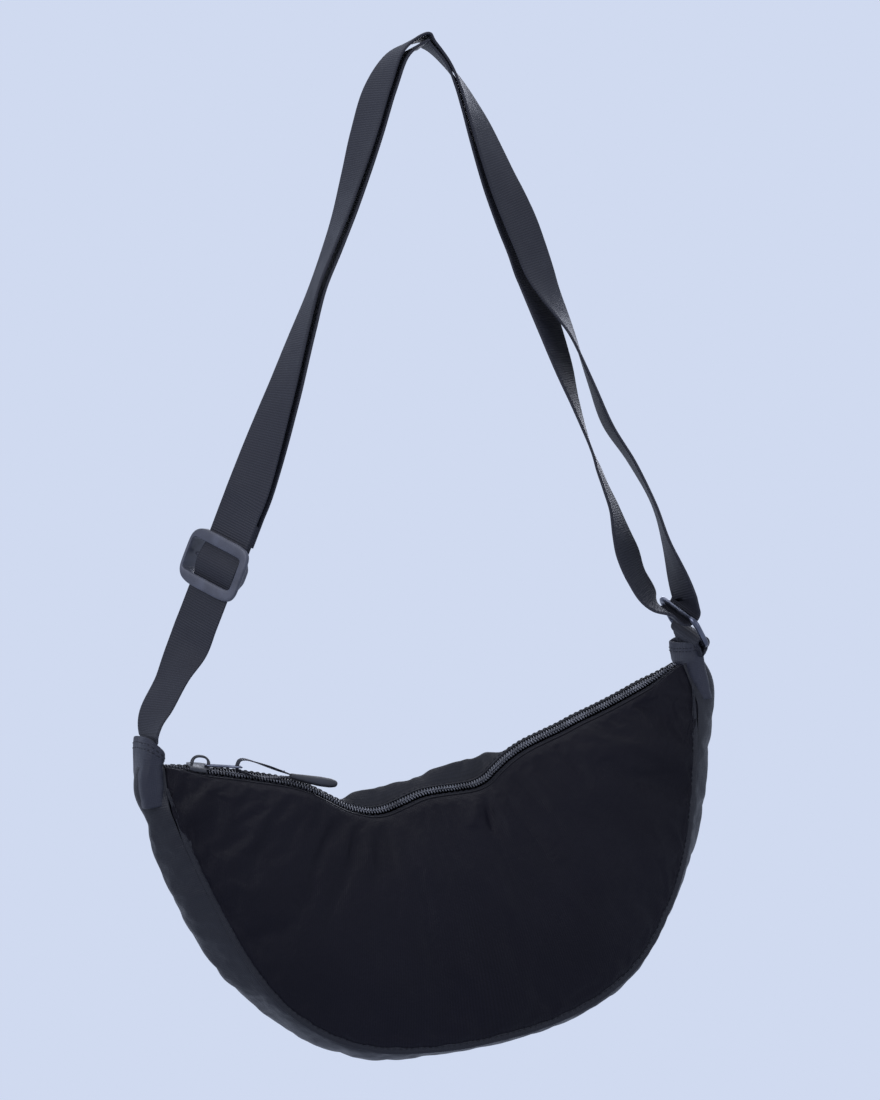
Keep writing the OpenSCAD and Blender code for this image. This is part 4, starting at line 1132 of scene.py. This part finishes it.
def webbingProfile(width, thick):
    # flat faces with a slightly fuller selvedge at each edge
    half, t = width / 2, thick / 2
    side = [(-half + 0.25, -t * 0.8), (-half + 0.9, -t * 1.08), (-half + 2, -t), (-half * 0.5, -t * 0.96),
            (0, -t), (half * 0.5, -t * 0.96), (half - 2, -t), (half - 0.9, -t * 1.08),
            (half - 0.25, -t * 0.8), (half, -t * 0.3)]
    return side + [(-x, -y) for x, y in side]


ripple = 0.16 * softNoise(steps / 26, 0.0, 61)
strapPart = sweep(strapCentre + strapOut * ripple[:, None], strapAcross, strapOut,
                  webbingProfile(strap["width"], strap["thick"]), np.stack([taper, np.ones_like(taper)], -1))
makePiece("strapWebbing", strapPart, "wovenWebbing", "strap", ("strap_webbing",), outward=True)
print("strap made")

# ---- the ring's loop, two plies of webbing round the ring's lower bar
ringLoop = {"plyGap": 0.25, "eye": 3.1, "rise": 16.7, "width": 24.6, "thick": 1.3, "steps": 120}


def ringLoopPiece():
    thick, rise, eye, count = [ringLoop[key] for key in ("thick", "rise", "eye", "steps")]
    half = thick / 2 + ringLoop["plyGap"] / 2
    course = [(half, 3.5), (half, 7), (half, rise - eye - 3.2), (half + 0.9, rise - eye - 0.9)]
    for a in np.linspace(-50, 230, 19):
        course.append((eye * math.cos(rad(a)), rise + eye * math.sin(rad(a))))
    course += [(-half - 0.9, rise - eye - 0.9), (-half, rise - eye - 3.2), (-half, 7), (-half, 3.5)]
    flat = throughPoints(course, count)
    flat[:, 0] += 0.25 * softNoise(np.linspace(0, 9, count), 0.0, 71)
    centres = np.array([footPoint(x, z) for x, z in flat])
    ways = waysAlong(centres)
    across = np.tile(ringWay, (count, 1))
    reach = reachAlong(centres)
    narrow = np.clip(np.minimum(reach, reach[-1] - reach) / 7, 0, 1) * 0.4 + 0.6
    part = sweep(centres, across, unit(np.cross(ways, across)), webbingProfile(ringLoop["width"], thick),
                 np.stack([narrow, np.ones(count)], -1))
    threads = []
    for z in (8.7, 10.4):
        for side in (-1, 1):
            line = footPoint(side * (half + thick / 2 + 0.1), z) + ringWay * np.linspace(-11, 11, 40)[:, None]
            out = unit(footPoint(side, z) - footPoint(0, z))
            threads += stitches(line, np.tile(out, (40, 1)), 2.4)
    makePiece("ringLoop", part, "wovenWebbing", "strap", ("ring_webbing_loop",), outward=True)
    makePiece("ringLoopStitches", threads, "sewingThread", "strap")


ringLoopPiece()

# the ring: cast wire, a rounded rectangle
ring = {"wire": 3.4, "half": 15.4, "bend": 3.6, "steps": 160}


def ringPiece():
    flat = roundedLoop((-ring["half"], 0), (ring["half"], strap["ringHigh"]), ring["bend"], 12, ring["steps"])
    centres = np.array([ringPoint(0, z) + ringWay * y for y, z in flat])
    normal = unit(ringPoint(1, 0) - ringPoint(0, 0))
    ways = unit(np.roll(centres, -1, 0) - np.roll(centres, 1, 0))
    sides = np.tile(normal, (ring["steps"], 1))
    part = sweep(centres, sides, np.cross(ways, sides), oval(ring["wire"] * 0.92, ring["wire"], 20, 2.4),
                 loop=True)
    makePiece("ring", part, "platedZinc", "ring", ("ring",), outward=True)


ringPiece()
print("ring made")

# ---- the adjuster, a three-bar slide, and the strap's end sewn round its middle bar
adjuster = {"high": 29.6, "half": 18.9, "centre": -1.9, "windowHalf": 15.8, "windowHigh": 17.2,
            "windowAt": -3.2, "thick": 2.4, "front": -3.4, "middle": 3.5, "bar": 2.2, "bow": 0.5,
            "farDeep": 10.5, "around": 128, "foldRadius": 1.9, "foldWidth": 24.8, "foldThick": 1.25,
            "foldSteps": 150}


def adjusterFrame():
    ways = np.array([(*(adjusterPlace + adjusterWay * strap["straight"] * i), strap["twist"], 0, 0)
                     for i in (-1, 0, 1)])
    centre, across, out, _ = sections(ways)
    return centre[1], -across[1], -out[1], adjusterWay


adjusterAt, adjusterX, adjusterY, adjusterZ = adjusterFrame()


def onAdjuster(points):
    p = np.asarray(points, float)
    return adjusterAt + p[..., :1] * adjusterX + p[..., 1:2] * adjusterY + p[..., 2:3] * adjusterZ


def adjusterPiece():
    a = np.linspace(0, 2 * math.pi, adjuster["around"], endpoint=False)
    c, s = np.cos(a), np.sin(a)

    def blunt(middle, halfX, halfZ, power):
        radius = (np.abs(c / halfX) ** power + np.abs(s / halfZ) ** power) ** (-1 / power)
        return np.stack([middle + c * radius, s * radius], -1)
    outer = blunt(adjuster["centre"], adjuster["half"], adjuster["high"] / 2, np.where(c < 0, 4.4, 5.5))
    inner = blunt(adjuster["windowAt"], adjuster["windowHalf"], adjuster["windowHigh"] / 2, 14)
    front, back = adjuster["front"], adjuster["front"] + adjuster["thick"]
    rings = []
    for share, y in ((0, front + 0.8), (0.04, front + 0.35), (0.12, front + 0.08), (0.25, front),
                     (0.8, front + 0.05), (0.94, front + 0.3), (1, front + 0.75), (1, back - 0.5),
                     (0.93, back - 0.1), (0.8, back), (0.2, back), (0.06, back - 0.15), (0, back - 0.6)):
        shape = mix(outer, inner, share)
        bow = adjuster["bow"] * (shape[:, 0] / adjuster["half"]) ** 2
        if y > front + adjuster["thick"] / 2:
            bow = bow + adjuster["farDeep"] * smoothStep(-shape[:, 0], 11, 17)
        rings.append(np.stack([shape[:, 0], y + bow, shape[:, 1]], -1))
    points = np.swapaxes(np.array(rings), 0, 1)
    vertices, faces, cloth = grid(onAdjuster(points), points[..., 0], points[..., 2], closed=True)
    m, n = len(rings), len(a)
    faces += [((n - 1) * m + j, (n - 1) * m + (j + 1) % m, (j + 1) % m, j) for j in range(m)]
    parts = [(vertices, faces, cloth)]
    # an ear at the near end, and the middle bar from it to the deep far rail
    ear = np.array([[13.8, y, 0] for y in (back - 0.8, back + 1.5, adjuster["middle"],
                                           adjuster["middle"] + 1.4)])
    centres = onAdjuster(throughPoints(ear, 16))
    wide = mix(23, 8, np.linspace(0, 1, 16) ** 1.4)
    parts.append(sweep(centres, np.tile(adjusterX, (16, 1)), np.tile(adjusterZ, (16, 1)), oval(1, 1, 20, 3.4),
                       np.stack([np.full(16, 2), wide], -1)))
    bar = np.stack([np.linspace(-18.4, 13.6, 9), np.full(9, adjuster["middle"]), np.zeros(9)], -1)
    parts.append(tube(onAdjuster(bar), adjuster["bar"], 16))
    makePiece("strapAdjuster", parts, "mouldedAcetal", "adjuster", ("strap_adjuster",),
              1, outward=True)


def endFoldPiece():
    middle, r, count = adjuster["middle"], adjuster["foldRadius"], adjuster["foldSteps"]
    flat = [(middle - r, 26.5), (middle - r, 19), (middle - r, 10), (middle - r, 3)]
    for t in np.linspace(180, 360, 13):
        flat.append((middle + r * math.cos(rad(t)), r * math.sin(rad(t))))
    flat += [(middle + r * 0.82, 1.5), (middle + 0.55, 3.4), (middle - 0.35, 5.6), (middle - 0.55, 9),
             (middle - 0.55, 17), (middle - 0.55, 26)]
    line = throughPoints(flat, count)
    centres = onAdjuster(np.stack([np.zeros(count), line[:, 0], line[:, 1]], -1))
    ways = waysAlong(centres)
    across = np.tile(adjusterX, (count, 1))
    profile = webbingProfile(adjuster["foldWidth"], adjuster["foldThick"])
    part = sweep(centres, across, unit(np.cross(ways, across)), profile)
    threads = []
    for z in (20, 21.3, 22.6):
        for x in (-1, 1):
            seam = onAdjuster(np.stack([x * np.linspace(2.2, 10.8, 24), np.full(24, middle + 0.16),
                                        z + 0.5 * np.sin(np.arange(24) * 2.2)], -1))
            threads += stitches(seam, np.tile(adjusterY, (24, 1)), 1.4)
    makePiece("strapEndFold", part, "wovenWebbing", "adjuster", ("strap_end_fold",), outward=True)
    makePiece("strapEndStitches", threads, "sewingThread", "adjuster")


adjusterPiece()
endFoldPiece()
print("adjuster made")

# ---- inside the bag: wadding, linings and a slip pocket
inside = {"columns": 70, "rows": 30, "waddingThick": 2.0, "liningThick": 0.4, "bandSteps": 120,
          "bandRows": 14, "bandInset": 2.2}


def insideLayer(name, side, depth, thick, finish, replaced, ends, rows=(0.09, 0.985), seed=81):
    along, down = sheetOf(np.linspace(*ends, inside["columns"]), np.linspace(*rows, inside["rows"]))
    base = panelSurface(side, along, down, 0)
    ways = surfaceWays(base, side)
    sag = depth + 0.35 * softNoise(base[..., 0] / 14, base[..., 2] / 14, seed)
    near = smoothStep(down, rows[0] - 0.02, rows[0] + 0.12)
    points = base - ways * (mix(min(depth, 2.2), sag, near))[..., None]
    part = grid(toHang(points), base[..., 0], base[..., 2])
    piece = makePiece(name, part, finish, "bag", replaced, outward=True)
    thicken(piece, thick)
    return piece


for word, side in (("front", -1), ("back", 1)):
    wadding = insideLayer(word + "Wadding", side, 2.9, inside["waddingThick"], "cardedWadding",
                          (word + "_wadding",), (0.03, 0.97), seed=81 + side)
    insideLayer(word + "Lining", side, 5.6, inside["liningThick"], "polyesterLining",
                (word + "_lining",), (0.03, 0.97), seed=91 + side)
insideLayer("innerPocket", 1, 7.0, inside["liningThick"], "polyesterLining", ("inner_pocket",),
            (0.29, 0.71), (0.34, 0.78), 99)


def gussetLiningPiece():
    angles, across = sheetOf(np.linspace(-seams["end"] + 3, seams["end"] - 3, inside["bandSteps"]),
                             np.linspace(-1, 1, inside["bandRows"]))
    base = gussetSurface(angles, across, inside["bandInset"])
    part = grid(toHang(base), across * 25, np.linspace(0, 430, inside["bandSteps"])[:, None])
    piece = makePiece("gussetLining", part, "polyesterLining", "bag", ("gusset_lining",),
                      outward=True)
    thicken(piece, inside["liningThick"])


gussetLiningPiece()
print("inside made")

# ---- floor, backdrop, light and camera
def seeingRays(tree):
    # 1 for the rays that show a thing, and 0 for those that only light it
    rays = addNode(tree, "ShaderNodeLightPath").outputs
    either = rays["Is Camera Ray"]
    for kind in ("Is Glossy Ray", "Is Transmission Ray"):
        either = addNode(tree, "ShaderNodeMath", {"operation": "MAXIMUM"},
                         {0: either, 1: rays[kind]}).outputs[0]
    return either


def plainMaterial(name, near, far):
    # a pale matt floor that keeps the shadow near the bag, and further off is seen in its own colour alone
    material, tree = newMaterial(name)
    spot = addNode(tree, "ShaderNodeTexCoord").outputs["Object"]
    flat = addNode(tree, "ShaderNodeVectorMath", {"operation": "MULTIPLY", 1: (1, 1, 0)},
                   {0: spot}).outputs[0]
    away = addNode(tree, "ShaderNodeVectorMath", {"operation": "LENGTH"}, {0: flat}).outputs["Value"]
    seenShare = addNode(tree, "ShaderNodeMapRange", {"interpolation_type": "SMOOTHSTEP", "From Min": near[0],
                                                     "From Max": far[0], "To Min": near[1], "To Max": far[1]},
                        {"Value": away}).outputs[0]
    matt = addNode(tree, "ShaderNodeBsdfDiffuse", {"Color": linear(backdropColour)})
    seen = addNode(tree, "ShaderNodeEmission", {"Color": linear(backdropColour), "Strength": 1.0})
    share = addNode(tree, "ShaderNodeMath", {"operation": "MULTIPLY"}, {0: seeingRays(tree), 1: seenShare})
    both = addNode(tree, "ShaderNodeMixShader", {}, {0: share.outputs[0], 1: matt.outputs[0],
                                                     2: seen.outputs[0]})
    addNode(tree, "ShaderNodeOutputMaterial", {}, {"Surface": both.outputs[0]})
    return material


def stagePiece(name, corners, material):
    mesh = bpy.data.meshes.new(name)
    mesh.from_pydata(corners, [], [tuple(range(len(corners)))])
    mesh.materials.append(material)
    piece = bpy.data.objects.new(name, mesh)
    bpy.context.scene.collection.objects.link(piece)


stagePiece("floor", [(-6, -6, floorLevel), (6, -6, floorLevel), (6, 6, floorLevel), (-6, 6, floorLevel)],
           plainMaterial("paintedFloor", (0.1, 0.6), (0.42, 1)))

world = bpy.data.worlds.new("studio")
bpy.context.scene.world = world
world.use_nodes = True
tree = world.node_tree
tree.nodes.clear()
dim = addNode(tree, "ShaderNodeBackground", {"Color": linear("dfe4f2"), "Strength": 0.55})
seen = addNode(tree, "ShaderNodeBackground", {"Color": linear(backdropColour), "Strength": 1.0})
both = addNode(tree, "ShaderNodeMixShader", {}, {0: seeingRays(tree), 1: dim.outputs[0], 2: seen.outputs[0]})
addNode(tree, "ShaderNodeOutputWorld", {}, {"Surface": both.outputs[0]})

lamps = {"key": ((-1.3, -1.0, 0.45), 1.0, 16, "f4f6ff"), "fill": ((1.2, -1.4, 0.1), 1.3, 7, "e8ecfa"),
         "top": ((0.1, 0.1, 1.0), 1.2, 9, "ffffff"), "rim": ((0.7, 1.3, 0.2), 0.9, 9, "eef1ff")}
target = Vector((0, 0, -0.32))
for name, (place, size, power, colour) in lamps.items():
    lamp = bpy.data.lights.new(name, "AREA")
    lamp.shape = "DISK"
    lamp.size = size
    lamp.energy = power
    lamp.color = linear(colour)[:3]
    piece = bpy.data.objects.new(name, lamp)
    piece.location = place
    piece.rotation_euler = (target - Vector(place)).to_track_quat("-Z", "Y").to_euler()
    bpy.context.scene.collection.objects.link(piece)

lens = bpy.data.cameras.new("camera")
lens.sensor_fit = "VERTICAL"
lens.sensor_height = camera["sensor"]
lens.sensor_width = camera["sensor"]
lens.lens = camera["focus"] / camera["high"] * camera["sensor"]
lens.clip_start = 0.01
eye = bpy.data.objects.new("camera", lens)
turn = rad(camera["azimuth"])
back = Vector((math.sin(turn), -math.cos(turn), 0))
eye.location = Vector(camera["aim"]) * mm + back * camera["distance"] * mm
eye.rotation_euler = back.to_track_quat("Z", "Y").to_euler()
bpy.context.scene.collection.objects.link(eye)
bpy.context.scene.camera = eye
bpy.context.scene.view_settings.view_transform = "Standard"
print("stage made")
